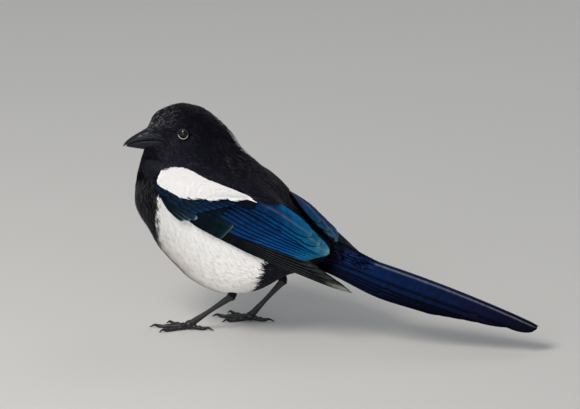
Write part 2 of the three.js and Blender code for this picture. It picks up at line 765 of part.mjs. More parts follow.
function toeDirection(leg, toe) {
  const a = deg(leg.heading + leg.side * -1 * toe.angle);
  return v3(Math.cos(a), Math.sin(a), 0);
}

// The part of a solid beyond a distance from the ball of the foot along a toe, or before it.
function cutAcross(solid, leg, toe, distance, beyond) {
  const direction = toeDirection(leg, toe);
  const offset = direction.dot(v3(leg.ball.x, leg.ball.y, 0)) + distance;
  if (beyond) return solid.trimByPlane(direction.toArray(), offset);
  return solid.trimByPlane(direction.clone().negate().toArray(), -offset);
}

// A toe lies along the floor, swelling at each joint, with its sole cut flat at the floor.
function toeSolid(leg, toe, grow = 0) {
  const direction = toeDirection(leg, toe);
  const points = [];
  const radii = [];
  const steps = 4;
  for (let i = 0; i <= steps; i++) {
    const u = i / steps;
    const joint = 1 + 0.1 * Math.cos(u * 6 * Math.PI);
    const r = lerp(toe.radius, TOE_TIP_RADIUS, u) * joint;
    const p = v3(leg.ball.x, leg.ball.y, 0).addScaledVector(direction, u * (toe.length + 1));
    p.z = r * 0.86 + 1.6 * (1 - u) * (1 - u);
    points.push(p);
    radii.push([r + grow, r + grow]);
  }
  const toeLimb = limbSolid(points, radii, 6).trimByPlane([0, 0, 1], 0);
  return cutAcross(toeLimb, leg, toe, toe.length, false);
}

function clawSolid(leg, toe) {
  const direction = toeDirection(leg, toe);
  const length = CLAW_LENGTHS[toe.name];
  const start = v3(leg.ball.x, leg.ball.y, 0).addScaledVector(direction, toe.length - 0.5);
  const points = [];
  const radii = [];
  const steps = 4;
  for (let i = 0; i <= steps; i++) {
    const u = i / steps;
    const p = start.clone().addScaledVector(direction, length * (u - 0.12 * u * u));
    p.z = 1.6 + 1.1 * Math.sin(Math.PI * Math.min(1, u * 1.3)) - 1.1 * u * u;
    points.push(p);
    const r = lerp(1.4, 0.25, Math.pow(u, 1.2));
    radii.push([r * 1.1, r * 0.8]);
  }
  return largest(cutAcross(limbSolid(points, radii, 6), leg, toe, toe.length + GAP, true));
}

function footSolid(leg) {
  const pad = ballAt(leg.ball, PAD_RADIUS, 8).trimByPlane([0, 0, 1], 0);
  const whole = union([pad, ...TOES.map((toe) => toeSolid(leg, toe))]);
  return largest(whole.subtract(shankSolid(leg, GAP)));
}

// Colours: sooty black with a faint gloss, white, blue-green gloss on the wings and tail.
const finish = (color, roughness, metalness = 0) =>
  new THREE.MeshStandardMaterial({ color, roughness, metalness });
const BLACK = finish(0x14151b, 0.6);
const WHITE = finish(0xe9e7e2, 0.75);
const WING_BLUE = finish(0x164d80, 0.4, 0.2);
const TAIL_BLUE = finish(0x18243f, 0.4, 0.2);
const HORN = finish(0x2a2c30, 0.4);
const EYE = finish(0x120c08, 0.08);
const SCALE = finish(0x191a1e, 0.55);

const magpie = new THREE.Group();

// Vertices that lie closer than this are one.
const WELD = 1e-3;

function addPiece(name, made, material) {
  let kept = made;
  for (let i = 0; i < 3; i++) {
    const rough = kept.getMesh();
    kept = largest(solidOf(rough.vertProperties, rough.triVerts, WELD));
  }
  const { vertProperties, triVerts, numProp } = kept.getMesh();
  const count = vertProperties.length / numProp;
  const places = new Float32Array(count * 3);
  for (let i = 0; i < count; i++) places.set(vertProperties.subarray(i * numProp, i * numProp + 3), i * 3);
  const geometry = new THREE.BufferGeometry();
  geometry.setAttribute("position", new THREE.BufferAttribute(places, 3));
  geometry.setIndex(new THREE.BufferAttribute(new Uint32Array(triVerts), 1));
  const mesh = new THREE.Mesh(geometry, material);
  mesh.name = name;
  magpie.add(mesh);
}

function addBody() {
  const whole = bodySolid();
  const head = keepSide(whole, CUTS.headNeck, 1);
  const belowHead = keepSide(whole, CUTS.headNeck, -1);
  const neck = keepSide(belowHead, CUTS.neckBody, 1);
  const trunk = keepSide(belowHead, CUTS.neckBody, -1);
  const rump = keepSide(keepSide(trunk, CUTS.bellyRump, -1), CUTS.rumpTail, 1);
  const front = keepSide(trunk, CUTS.bellyRump, 1);
  const mantle = keepSide(front, CUTS.mantleBelly, 1);
  const under = keepSide(front, CUTS.mantleBelly, -1);
  const breast = keepSide(under, CUTS.breastBelly, 1);
  const hocks = union([shankSolid(LEGS.left, GAP), shankSolid(LEGS.right, GAP)]);
  const belly = keepSide(under, CUTS.breastBelly, -1).subtract(hocks);

  const sides = [LEFT, RIGHT];
  const grown = [
    ...sides.flatMap((side) => [...Array(BRISTLES).keys()].map((k) => bristleSolid(side, k))),
    ...sides.map(lidSolid),
  ];
  const cutters = [
    billSolid(UPPER_BILL, 1, GAP),
    billSolid(LOWER_BILL, -1, GAP),
    mouthCutter(),
    ...sides.map((side) => eyeSolid(side, GAP)),
  ];
  addPiece("head", largest(union([head, ...grown]).subtract(union(cutters))), BLACK);
  addPiece("neck", neck, BLACK);
  addPiece("breast", largest(breast), BLACK);
  addPiece("belly", largest(belly), WHITE);
  addPiece("mantle", largest(mantle), BLACK);
  addPiece("rump", largest(rump.subtract(hocks)), BLACK);
}

function addFace() {
  const nostrils = union([nostrilCutter(LEFT), nostrilCutter(RIGHT)]);
  addPiece("bill_upper", largest(billSolid(UPPER_BILL, 1).subtract(nostrils)), HORN);
  addPiece("bill_lower", billSolid(LOWER_BILL, -1), HORN);
  addPiece("eye_left", eyeSolid(LEFT), EYE);
  addPiece("eye_right", eyeSolid(RIGHT), EYE);
}

function addWings(body) {
  for (const [name, side] of [["left", LEFT], ["right", RIGHT]]) {
    addPiece(`wing_${name}`, wingSolid(side, body), WING_BLUE);
    addPiece(`scapulars_${name}`, scapularSolid(side), WHITE);
  }
}

function addLegs(body) {
  for (const [name, leg] of Object.entries(LEGS)) {
    addPiece(`thigh_${name}`, thighSolid(leg, body), BLACK);
    addPiece(`shank_${name}`, shankSolid(leg), SCALE);
    addPiece(`foot_${name}`, footSolid(leg), SCALE);
    for (const toe of TOES) addPiece(`claw_${name}_${toe.name}`, clawSolid(leg, toe), HORN);
  }
}

const bodySpace = bodySolid(GAP);
addBody();
addFace();
addWings(bodySpace);
addPiece("tail", tailSolid(), TAIL_BLUE);
addLegs(bodySpace);

export default magpie;
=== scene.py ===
"""A Eurasian magpie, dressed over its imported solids: skin, coat, quills, bill, eyes and legs.

Sizes are in millimetres, as in the solids' source, and become metres when a mesh is made. The
bill points towards -X, the bird's left side is -Y and +Z is up.
"""
import logging
import math
from dataclasses import dataclass
from enum import Enum, IntEnum
from typing import Callable, Sequence

import bpy
import numpy as np
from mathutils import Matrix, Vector


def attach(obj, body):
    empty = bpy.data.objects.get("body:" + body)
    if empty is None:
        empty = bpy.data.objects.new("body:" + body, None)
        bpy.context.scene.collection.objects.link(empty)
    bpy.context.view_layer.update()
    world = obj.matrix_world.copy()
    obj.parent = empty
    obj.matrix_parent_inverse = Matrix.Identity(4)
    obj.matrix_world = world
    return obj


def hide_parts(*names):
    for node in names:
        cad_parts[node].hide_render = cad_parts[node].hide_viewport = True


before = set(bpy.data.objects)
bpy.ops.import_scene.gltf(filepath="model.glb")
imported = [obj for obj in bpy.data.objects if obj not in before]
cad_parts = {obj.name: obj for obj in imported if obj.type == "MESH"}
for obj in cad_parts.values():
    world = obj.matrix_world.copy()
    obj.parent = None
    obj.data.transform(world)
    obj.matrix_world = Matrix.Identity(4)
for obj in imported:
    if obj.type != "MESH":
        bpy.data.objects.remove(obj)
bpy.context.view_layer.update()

MM = 0.001
SEED = 7

log = logging.getLogger("magpie")

Array = np.ndarray
Draw = np.random.Generator
Material = bpy.types.Material
Tree = bpy.types.NodeTree
Surface = Callable[[Array, Array, Array], Array]


class Side(IntEnum):
    """The bird's own side, as the sign of Y."""

    LEFT = -1
    RIGHT = 1


class Plumage(Enum):
    """Kinds of flight and covering feathers, which differ in colour."""

    PRIMARY = "primary"
    SECONDARY = "secondary"
    TERTIAL = "tertial"
    GREATER_COVERT = "greater_covert"
    PRIMARY_COVERT = "primary_covert"
    ALULA = "alula"
    LESSER_COVERT = "lesser_covert"
    TAIL = "tail"


# Number helpers


def smooth(x: Array | float, low: float, high: float) -> Array:
    """A smooth step: 3w^2 - 2w^3, with w the share of the way from low to high, held in 0..1.

    Args:
        x: values.
        low: where the step starts at 0.
        high: where it reaches 1.

    Returns:
        The step's values.
    """
    w = np.clip((np.asarray(x, float) - low) / (high - low), 0.0, 1.0)
    return w * w * (3.0 - 2.0 * w)


def lerp(a: Array | float, b: Array | float, w: Array | float) -> Array:
    """The value a share w of the way from a to b."""
    return a + (b - a) * w


def unit(v: Array) -> Array:
    """Vectors of length 1 along v."""
    return v / np.maximum(np.linalg.norm(v, axis=-1, keepdims=True), 1e-9)


def spline(points: Array, w: Array) -> Array:
    """A smooth cubic curve through rows of values, spaced evenly in w.

    Each stretch is a cubic whose slope at a row is half the step between that row's neighbours.

    Args:
        points: rows of values, shape (n, k).
        w: places on the curve, 0 at the first row and 1 at the last.

    Returns:
        Values of shape w.shape + (k,).
    """
    n = len(points)
    rows = np.vstack([2 * points[0] - points[1], points, 2 * points[-1] - points[-2]])
    x = np.clip(w, 0.0, 1.0) * (n - 1)
    i = np.minimum(x.astype(int), n - 2)
    f = (x - i)[..., None]
    a, b, c, d = (rows[i + k] for k in range(4))
    return b + 0.5 * f * (c - a + f * (2 * a - 5 * b + 4 * c - d + f * (3 * (b - c) + d - a)))


def cubic_weights(w: Array) -> list[Array]:
    """A cubic curve's weights of the four rows round a place a share w past the second."""
    return [(-w + 2 * w**2 - w**3) / 2, (2 - 5 * w**2 + 3 * w**3) / 2,
            (w + 4 * w**2 - 3 * w**3) / 2, (-w**2 + w**3) / 2]


def linear(colour: str) -> Array:
    """An sRGB hex colour as linear red, green and blue."""
    c = np.array([int(colour[i:i + 2], 16) for i in (1, 3, 5)]) / 255.0
    return np.where(c <= 0.04045, c / 12.92, ((c + 0.055) / 1.055) ** 2.4)


def rgba(colour: str) -> tuple[float, ...]:
    """An sRGB hex colour as a linear colour with full opacity."""
    return (*linear(colour), 1.0)


def ring_angles(count: int, start: float = 0.0) -> Array:
    """Evenly spaced angles round a closed ring, as one row, from half a step past the start."""
    return (start + 2 * math.pi * (np.arange(count) + 0.5) / count)[None, :]


def shade(x: Array, low: float, high: float) -> Array:
    """A smooth step with a last axis of one, for mixing colours."""
    return smooth(x, low, high)[..., None]


def ramp(w: Array, stops: Sequence[tuple[float, str]]) -> Array:
    """Colours from a row of (place, hex colour) stops, mixed linearly between them.

    Args:
        w: the places to read.
        stops: the row, in rising order of place.

    Returns:
        Linear colours, shape w.shape + (3,).
    """
    places = [p for p, _ in stops]
    colours = np.array([linear(c) for _, c in stops])
    return np.stack([np.interp(w, places, colours[:, k]) for k in range(3)], axis=-1)


# Meshes


@dataclass
class Shape:
    """Points, faces and per-point values of one mesh, in millimetres.

    Args:
        points: shape (n, 3).
        faces: arrays of point numbers, each of shape (m, 3) or (m, 4).
        tint: linear colour of each point.
        place: a pair for each point, along and across the surface, for patterns.
        bake: a pair for each point on the skin's unwrap.
        normals: shading normals of the points, where they aren't the mesh's own.
    """

    points: Array
    faces: list[Array]
    tint: Array | None = None
    place: Array | None = None
    bake: Array | None = None
    normals: Array | None = None


def joined(shapes: Sequence[Shape]) -> Shape:
    """Several shapes as one, which all carry the same kinds of values.

    Args:
        shapes: the shapes.

    Returns:
        One shape with all their points, triangles first.
    """
    start = np.cumsum([0] + [len(s.points) for s in shapes])
    faces: list[Array] = []
    for sides in (3, 4):
        same = [f + k for s, k in zip(shapes, start) for f in s.faces if f.shape[1] == sides]
        if same:
            faces.append(np.vstack(same))

    def both(name: str) -> Array | None:
        """One kind of value over all shapes, or None where the first has none."""
        values = [getattr(s, name) for s in shapes]
        return None if values[0] is None else np.vstack(values)

    return Shape(both("points"), faces, both("tint"), both("place"), both("bake"), both("normals"))


def tube(rings: Array, tint: Array | None = None,
         place: Array | None = None) -> Shape:
    """A closed surface over rings of points, each end closed by a strip across the ring.

    Args:
        rings: shape (n, m, 3), with m even.
        tint: colours of shape (n, m, 3), or one colour for all.
        place: pairs of shape (n, m, 2).

    Returns:
        The shape, turned so that its faces point outwards.
    """
    n, m, _ = rings.shape
    number = np.arange(n * m).reshape(n, m)
    after = np.roll(number, -1, axis=1)
    quads = np.stack([number[:-1], after[:-1], after[1:], number[1:]], axis=-1).reshape(-1, 4)
    i = np.arange(m // 2 - 1)
    cap = np.stack([i, m - 1 - i, m - 2 - i, i + 1], axis=-1)
    last = cap[:, ::-1] + (n - 1) * m
    faces = np.vstack([quads, cap, last])
    points = rings.reshape(-1, 3)
    a, b, c, d = (points[faces[:, k]] for k in range(4))
    volume = np.einsum("ij,ij->", a, np.cross(b, c)) + np.einsum("ij,ij->", a, np.cross(c, d))
    if volume < 0:
        faces = faces[:, ::-1]

    def flat(values: Array | None, size: int) -> Array | None:
        """Values of the rings as one row for each point."""
        return None if values is None else np.broadcast_to(values, (n, m, size)).reshape(-1, size)

    return Shape(points, [faces], flat(tint, 3), flat(place, 2))


def slab(over: Array, under: Array) -> Array:
    """Rings of a slab from its upper and lower face, for a tube."""
    return np.concatenate([over, under[:, ::-1]], axis=1)


def add_piece(name: str, shape: Shape, material: Material,
              replaced: Sequence[str] = ()) -> bpy.types.Object:
    """Makes a Blender object of a shape and ties it to the frame.

    Args:
        name: the piece's name.
        shape: its points, faces and values.
        material: its finish.
        replaced: the nodes that it stands for.

    Returns:
        The object.
    """
    mesh = bpy.data.meshes.new(name)
    mesh.vertices.add(len(shape.points))
    mesh.vertices.foreach_set("co", (shape.points * MM).astype(np.float32).ravel())
    corners = np.concatenate([f.ravel() for f in shape.faces]).astype(np.int32)
    totals = np.concatenate([np.full(len(f), f.shape[1]) for f in shape.faces])
    mesh.loops.add(len(corners))
    mesh.loops.foreach_set("vertex_index", corners)
    mesh.polygons.add(len(totals))
    starts = np.concatenate([[0], np.cumsum(totals)[:-1]]).astype(np.int32)
    mesh.polygons.foreach_set("loop_start", starts)
    mesh.update(calc_edges=True)
    mesh.polygons.foreach_set("use_smooth", np.ones(len(totals), bool))
    for label, values in (("Place", shape.place), ("OFBake", shape.bake)):
        if values is not None:
            layer = mesh.uv_layers.new(name=label)
            layer.data.foreach_set("uv", values[corners].astype(np.float32).ravel())
    if shape.bake is not None:
        mesh.uv_layers.active = mesh.uv_layers["OFBake"]
    if shape.tint is not None:
        layer = mesh.attributes.new("Tint", "FLOAT_COLOR", "POINT")
        colours = np.hstack([shape.tint, np.ones((len(shape.tint), 1))])
        layer.data.foreach_set("color", colours.astype(np.float32).ravel())
    if mesh.validate(clean_customdata=False):
        log.warning("%s had faulty faces", name)
    if shape.normals is not None:
        mesh.normals_split_custom_set_from_vertices(unit(shape.normals).astype(np.float32))
    mesh.materials.append(material)
    piece = bpy.data.objects.new(name, mesh)
    bpy.context.scene.collection.objects.link(piece)
    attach(piece, "root")
    if replaced:
        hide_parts(*replaced)
    log.info("%s: %d triangles", name, int((totals - 2).sum()))
    return piece


# Finishes


def add_node(tree: Tree, kind: str, settings: dict | None = None,
             links: dict | None = None) -> bpy.types.Node:
    """Adds a shader node with its settings and links.

    Args:
        tree: the material's node tree.
        kind: the shader node's type.
        settings: socket or attribute names with their values.
        links: input names or numbers with what feeds them, a socket or a node's first output.

    Returns:
        The node.
    """
    node = tree.nodes.new("ShaderNode" + kind)
    for key, value in (settings or {}).items():
        if isinstance(key, int) or key in node.inputs:
            node.inputs[key].default_value = value
        else:
            setattr(node, key, value)
    for key, source in (links or {}).items():
        socket = source.outputs[0] if isinstance(source, bpy.types.Node) else source
        tree.links.new(socket, node.inputs[key])
    return node


def add_math(tree: Tree, operation: str,
             *values: float | bpy.types.NodeSocket) -> bpy.types.NodeSocket:
    """Adds a Math node.

    Args:
        tree: the material's node tree.
        operation: what it works out.
        values: its inputs in order, as numbers or as the sockets that feed them.

    Returns:
        The socket of its result.
    """
    numbers = {k: v for k, v in enumerate(values) if isinstance(v, (int, float))}
    links = {k: v for k, v in enumerate(values) if k not in numbers}
    return add_node(tree, "Math", {"operation": operation, **numbers}, links).outputs[0]


def new_material(name: str) -> tuple[Material, Tree]:
    """An empty node material and its tree.

    Args:
        name: the real material's name.

    Returns:
        The material and its node tree.
    """
    material = bpy.data.materials.new(name)
    material.use_nodes = True
    material.node_tree.nodes.clear()
    return material, material.node_tree


def finish_with(tree: Tree, settings: dict, links: dict) -> None:
    """Ends a tree in a Principled shader with the given settings and links."""
    shader = add_node(tree, "BsdfPrincipled", settings, links)
    add_node(tree, "OutputMaterial", links={"Surface": shader.outputs[0]})


@dataclass(frozen=True)
class VaneFinish:
    """A glossy feather vane: keratin barbs laid side by side, which give fine slanted lines.

    The barbs of a real vane lie about 0.3 mm apart, too fine to show, so they are drawn coarser.
    """

    name: str
    roughness: float = 0.42
    metallic: float = 0.55
    barb_mm: float = 0.9
    slant: float = 1.4
    wobble: float = 0.03
    line_level: float = 0.05
    patchiness: float = 1.4
    depth: float = 0.12
    sheen: str = "#7488b8"

    def build(self) -> Material:
        """Colour from the piece's Tint, barb lines from its Place, along and across the vane.

        Returns:
            The material.
        """
        material, tree = new_material(self.name)
        tint = add_node(tree, "Attribute", {"attribute_name": "Tint"})
        place = add_node(tree, "UVMap", {"uv_map": "Place"})
        parts = add_node(tree, "SeparateXYZ", links={0: place})
        slanted = add_math(tree, "MULTIPLY", add_math(tree, "ABSOLUTE", parts.outputs[1]),
                           -self.slant)
        along = add_math(tree, "ADD", parts.outputs[0], slanted)
        # A little noise along the vane keeps the barbs from lying like a ruled grid.
        noise = add_node(tree, "TexNoise", {"Scale": 18.0, "Detail": 2.0},
                         {"Vector": place}).outputs[0]
        shaken = add_math(tree, "MULTIPLY_ADD", noise, self.wobble, along)
        phase = add_math(tree, "MULTIPLY", shaken, 2 * math.pi * 100 / self.barb_mm)
        wave = add_math(tree, "SINE", phase)
        level = add_math(tree, "MULTIPLY_ADD", wave, self.line_level, 1 - self.line_level)
        patches = add_math(tree, "MULTIPLY_ADD", noise, self.patchiness, 1 - self.patchiness / 2)
        both = add_math(tree, "MULTIPLY", level, patches)
        colour = add_node(tree, "VectorMath", {"operation": "SCALE"},
                          {0: tint, "Scale": both})
        bump = add_node(tree, "Bump", {"Strength": self.depth, "Distance": 0.0002},
                        {"Height": wave})
        finish_with(tree, {"Roughness": self.roughness, "Metallic": self.metallic,
                           "Specular IOR Level": 0.3,
                           "Specular Tint": rgba(self.sheen)},
                    {"Base Color": colour, "Normal": bump})
        return material


@dataclass(frozen=True)
class DownFinish:
    """Soft small feathers, whose loose barbs scatter light: rough, with a sheen at the edges."""

    name: str
    roughness: float
    sheen: float
    sheen_colour: str
    specular: float = 0.5
    mottle: float = 0.5
    gloss: str = "#ffffff"

    def build(self) -> Material:
        """Colour from the piece's Tint, mottled a little by noise a few millimetres wide.

        Returns:
            The material.
        """
        material, tree = new_material(self.name)
        tint = add_node(tree, "Attribute", {"attribute_name": "Tint"})
        where = add_node(tree, "TexCoord")
        noise = add_node(tree, "TexNoise", {"Scale": 400.0, "Detail": 2.0},
                         {"Vector": where.outputs["Object"]}).outputs[0]
        level = add_math(tree, "MULTIPLY_ADD", noise, self.mottle, 1 - self.mottle / 2)
        colour = add_node(tree, "VectorMath", {"operation": "SCALE"},
                          {0: tint, "Scale": level})
        finish_with(tree, {"Roughness": self.roughness, "Sheen Weight": self.sheen,
                           "Sheen Roughness": 0.4,
                           "Sheen Tint": rgba(self.sheen_colour),
                           "Specular IOR Level": self.specular,
                           "Specular Tint": rgba(self.gloss)},
                    {"Base Color": colour})
        return material


@dataclass(frozen=True)
class HornFinish:
    """Keratin of bill and claws, grown in thin sheets: fine streaks and a satin gloss."""

    name: str
    dark: str
    light: str
    roughness: float
    gloss: str = "#c4ccdc"
    streak_mm: float = 1.2

    def build(self) -> Material:
        """Streaks along Place's first axis, in colour, roughness and bump.

        Returns:
            The material.
        """
        material, tree = new_material(self.name)
        place = add_node(tree, "UVMap", {"uv_map": "Place"})
        stretch = add_node(tree, "Mapping", {"Scale": (6.0, 100 / self.streak_mm, 1.0)},
                           {"Vector": place})
        noise = add_node(tree, "TexNoise", {"Scale": 1.0, "Detail": 5.0},
                         {"Vector": stretch}).outputs[0]
        colour = add_node(tree, "Mix",
                          {"data_type": "RGBA", 6: rgba(self.dark), 7: rgba(self.light)},
                          {0: noise})
        rough = add_math(tree, "MULTIPLY_ADD", noise, 0.25, self.roughness - 0.1)
        bump = add_node(tree, "Bump", {"Strength": 0.25, "Distance": 0.0002},
                        {"Height": noise})
        finish_with(tree, {"IOR": 1.54, "Specular IOR Level": 0.32,
                           "Specular Tint": rgba(self.gloss)},
                    {"Base Color": colour.outputs[2], "Roughness": rough,
                     "Normal": bump})
        return material


@dataclass(frozen=True)
class SkinFinish:
    """Scaly bare skin of legs, toes and lids: small plates with dull edges and satin middles."""

    name: str
    colour: str
    roughness: float = 0.45
    plate_mm: float = 0.9

    def build(self) -> Material:
        """Small cells on Object coordinates, in colour and bump, under the modelled plates.

        Returns:
            The material.
        """
        material, tree = new_material(self.name)
        where = add_node(tree, "TexCoord")
        cells = add_node(tree, "TexVoronoi", {"Scale": 1000 / self.plate_mm},
                         {"Vector": where.outputs["Object"]})
        colour = add_node(tree, "Mix",
                          {"data_type": "RGBA", 6: (*(linear(self.colour) * 1.5), 1.0),
                           7: (*(linear(self.colour) * 0.5), 1.0)}, {0: cells})
        bump = add_node(tree, "Bump",
                        {"Strength": 0.5, "Distance": 0.0002, "invert": True},
                        {"Height": cells})
        finish_with(tree, {"Roughness": self.roughness, "IOR": 1.5},
                    {"Base Color": colour.outputs[2], "Normal": bump})
        return material


@dataclass(frozen=True)
class EyeFinish:
    """A wet cornea over a dark brown iris: almost black, with a hard mirror gloss."""

    name: str
    roughness: float = 0.03
    gloss: str = "#d8e0f4"

    def build(self) -> Material:
        """Colour from the piece's Tint, which holds pupil and iris as rings.

        Returns:
            The material.
        """
        material, tree = new_material(self.name)
        tint = add_node(tree, "Attribute", {"attribute_name": "Tint"})
        finish_with(tree, {"Roughness": self.roughness, "IOR": 1.45,
                           "Specular Tint": rgba(self.gloss)},
                    {"Base Color": tint})
        return material


# Forms that the solids have too


@dataclass(frozen=True)
class BodyForm:
    """The body's outline: slices from the face round to the tail root, and the head's turn.

    Args:
        tops: upper end of each slice, x and z.
        bottoms: lower end of each slice, x and z.
        halves: half widths of each slice at 20, 50 and 80 % of the way down.
    """

    tops: tuple = ((-177, 190), (-175, 194.5), (-167, 207.5), (-147.5, 215), (-134, 213.5),
                   (-120.5, 209), (-101.5, 192.5), (-88, 175.5), (-75.5, 165.5), (-57.5, 149.5),
                   (-42, 131), (-29, 113), (-19, 100), (-12.5, 99), (-5.7, 94.2), (1, 91))
    bottoms: tuple = ((-178.5, 172.5), (-177, 169), (-181, 163.5), (-185, 149), (-186.5, 140),
                      (-187.5, 132), (-188, 115), (-183.5, 104), (-175.5, 92), (-166, 75.5),
                      (-151.5, 59.5), (-132.5, 43.5), (-105, 33.5), (-72.5, 38.5), (-41, 57),
                      (-11, 61.5))
    halves: tuple = ((3.4, 3.8, 4.4), (5.5, 5, 6), (9.5, 5.5, 5), (15.5, 6.5, 7.5), (18, 8, 17),
                     (19.5, 19, 28), (23.5, 32, 38), (29, 39, 42.5), (35, 43, 44.5),
                     (38, 45.5, 45.5), (38, 46, 45.5), (35, 43.5, 43), (30, 38.5, 37.5),
                     (23, 30.5, 30), (16.5, 20.5, 21), (12, 13, 12))
    head_turn: float = math.radians(14)
    neck_x: float = -131.8
    turn_from: float = 182.0
    turn_full: float = 217.0

    def turned(self, p: Array, share: Array) -> Array:
        """Points turned about the neck's upright axis by a share of the head's turn.

        Args:
            p: points.
            share: the share of the turn that each takes.

        Returns:
            The turned points.
        """
        angle = self.head_turn * share
        x, y = p[..., 0] - self.neck_x, p[..., 1]
        return np.stack([self.neck_x + x * np.cos(angle) - y * np.sin(angle),
                         x * np.sin(angle) + y * np.cos(angle), p[..., 2]], axis=-1)

    def share(self, p: Array) -> Array:
        """How far the head's turn reaches each unturned point, from 0 to 1."""
        return smooth(-0.407 * p[..., 0] + 0.914 * p[..., 2], self.turn_from, self.turn_full)

    def turn(self, p: Array) -> Array:
        """Points of the straight body, with the head's turn."""
        return self.turned(p, self.share(p))

    def unturn(self, p: Array) -> Array:
        """Points without the head's turn, found in four steps.

        Args:
            p: points of the turned bird.

        Returns:
            The same points of the straight body.
        """
        rest = p.copy()
        for _ in range(4):
            rest = self.turned(p, -self.share(rest))
        return rest

    def half(self, t: Array, f: Array) -> Array:
        """Half width over an ellipse's: the parabola through a slice's three half widths."""
        h = spline(np.array(self.halves, float), t)
        return (h[..., 0] * (f - 0.5) * (f - 0.8) / 0.18
                - h[..., 1] * (f - 0.2) * (f - 0.8) / 0.09
                + h[..., 2] * (f - 0.2) * (f - 0.5) / 0.18)

    def straight(self, t: Array, angle: Array, grow: Array) -> Array:
        """A point of the body before the head's turn.

        The slice at t runs from its top to its bottom. The point lies (1 - cos angle) / 2 of the
        way down, and sin angle times the half width to the side.

        Args:
            t: place along the body, 0 at the face and 1 at the tail root.
            angle: place round the slice, 0 on the back, positive to the bird's right.
            grow: how far out of the outline, in mm.

        Returns:
            Points, shape (..., 3).
        """
        t, angle, grow = np.broadcast_arrays(t, angle, grow)
        top = spline(np.array(self.tops, float), t)
        bottom = spline(np.array(self.bottoms, float), t)
        down = unit(bottom - top) * grow[..., None]
        f = (1 - np.cos(angle)) / 2
        flat = lerp(top - down, bottom + down, f[..., None])
        y = np.sin(angle) * (self.half(t, f) + grow)
        return np.stack([flat[..., 0], y, flat[..., 1]], axis=-1)

    def point(self, t: Array, angle: Array, grow: Array) -> Array:
        """A point of the body, with the head's turn. The arguments are those of straight."""
        return self.turn(self.straight(t, angle, grow))

    def inside(self, points: Array) -> Array:
        """Whether points lie in the body: each point's slice is found by halving, then the place
        on that slice is compared with its width.

        Args:
            points: points of the turned bird.

        Returns:
            True for each point that lies inside.
        """
        p = self.unturn(points)
        low, high = np.zeros(p.shape[:-1]), np.ones(p.shape[:-1])
        tops, bottoms = np.array(self.tops, float), np.array(self.bottoms, float)
        for _ in range(14):
            t = (low + high) / 2
            a, b = spline(tops, t), spline(bottoms, t)
            across = ((b[..., 0] - a[..., 0]) * (p[..., 2] - a[..., 1])
                      - (b[..., 1] - a[..., 1]) * (p[..., 0] - a[..., 0]))
            low, high = np.where(across > 0, t, low), np.where(across > 0, high, t)
        a, b = spline(tops, low), spline(bottoms, low)
        f = (p[..., 2] - a[..., 1]) / (b[..., 1] - a[..., 1])
        on_slice = (low > 0) & (high < 1) & (f > 0) & (f < 1)
        f = np.clip(f, 0.0, 1.0)
        return on_slice & (np.abs(p[..., 1]) < 2 * np.sqrt(f * (1 - f)) * self.half(low, f))


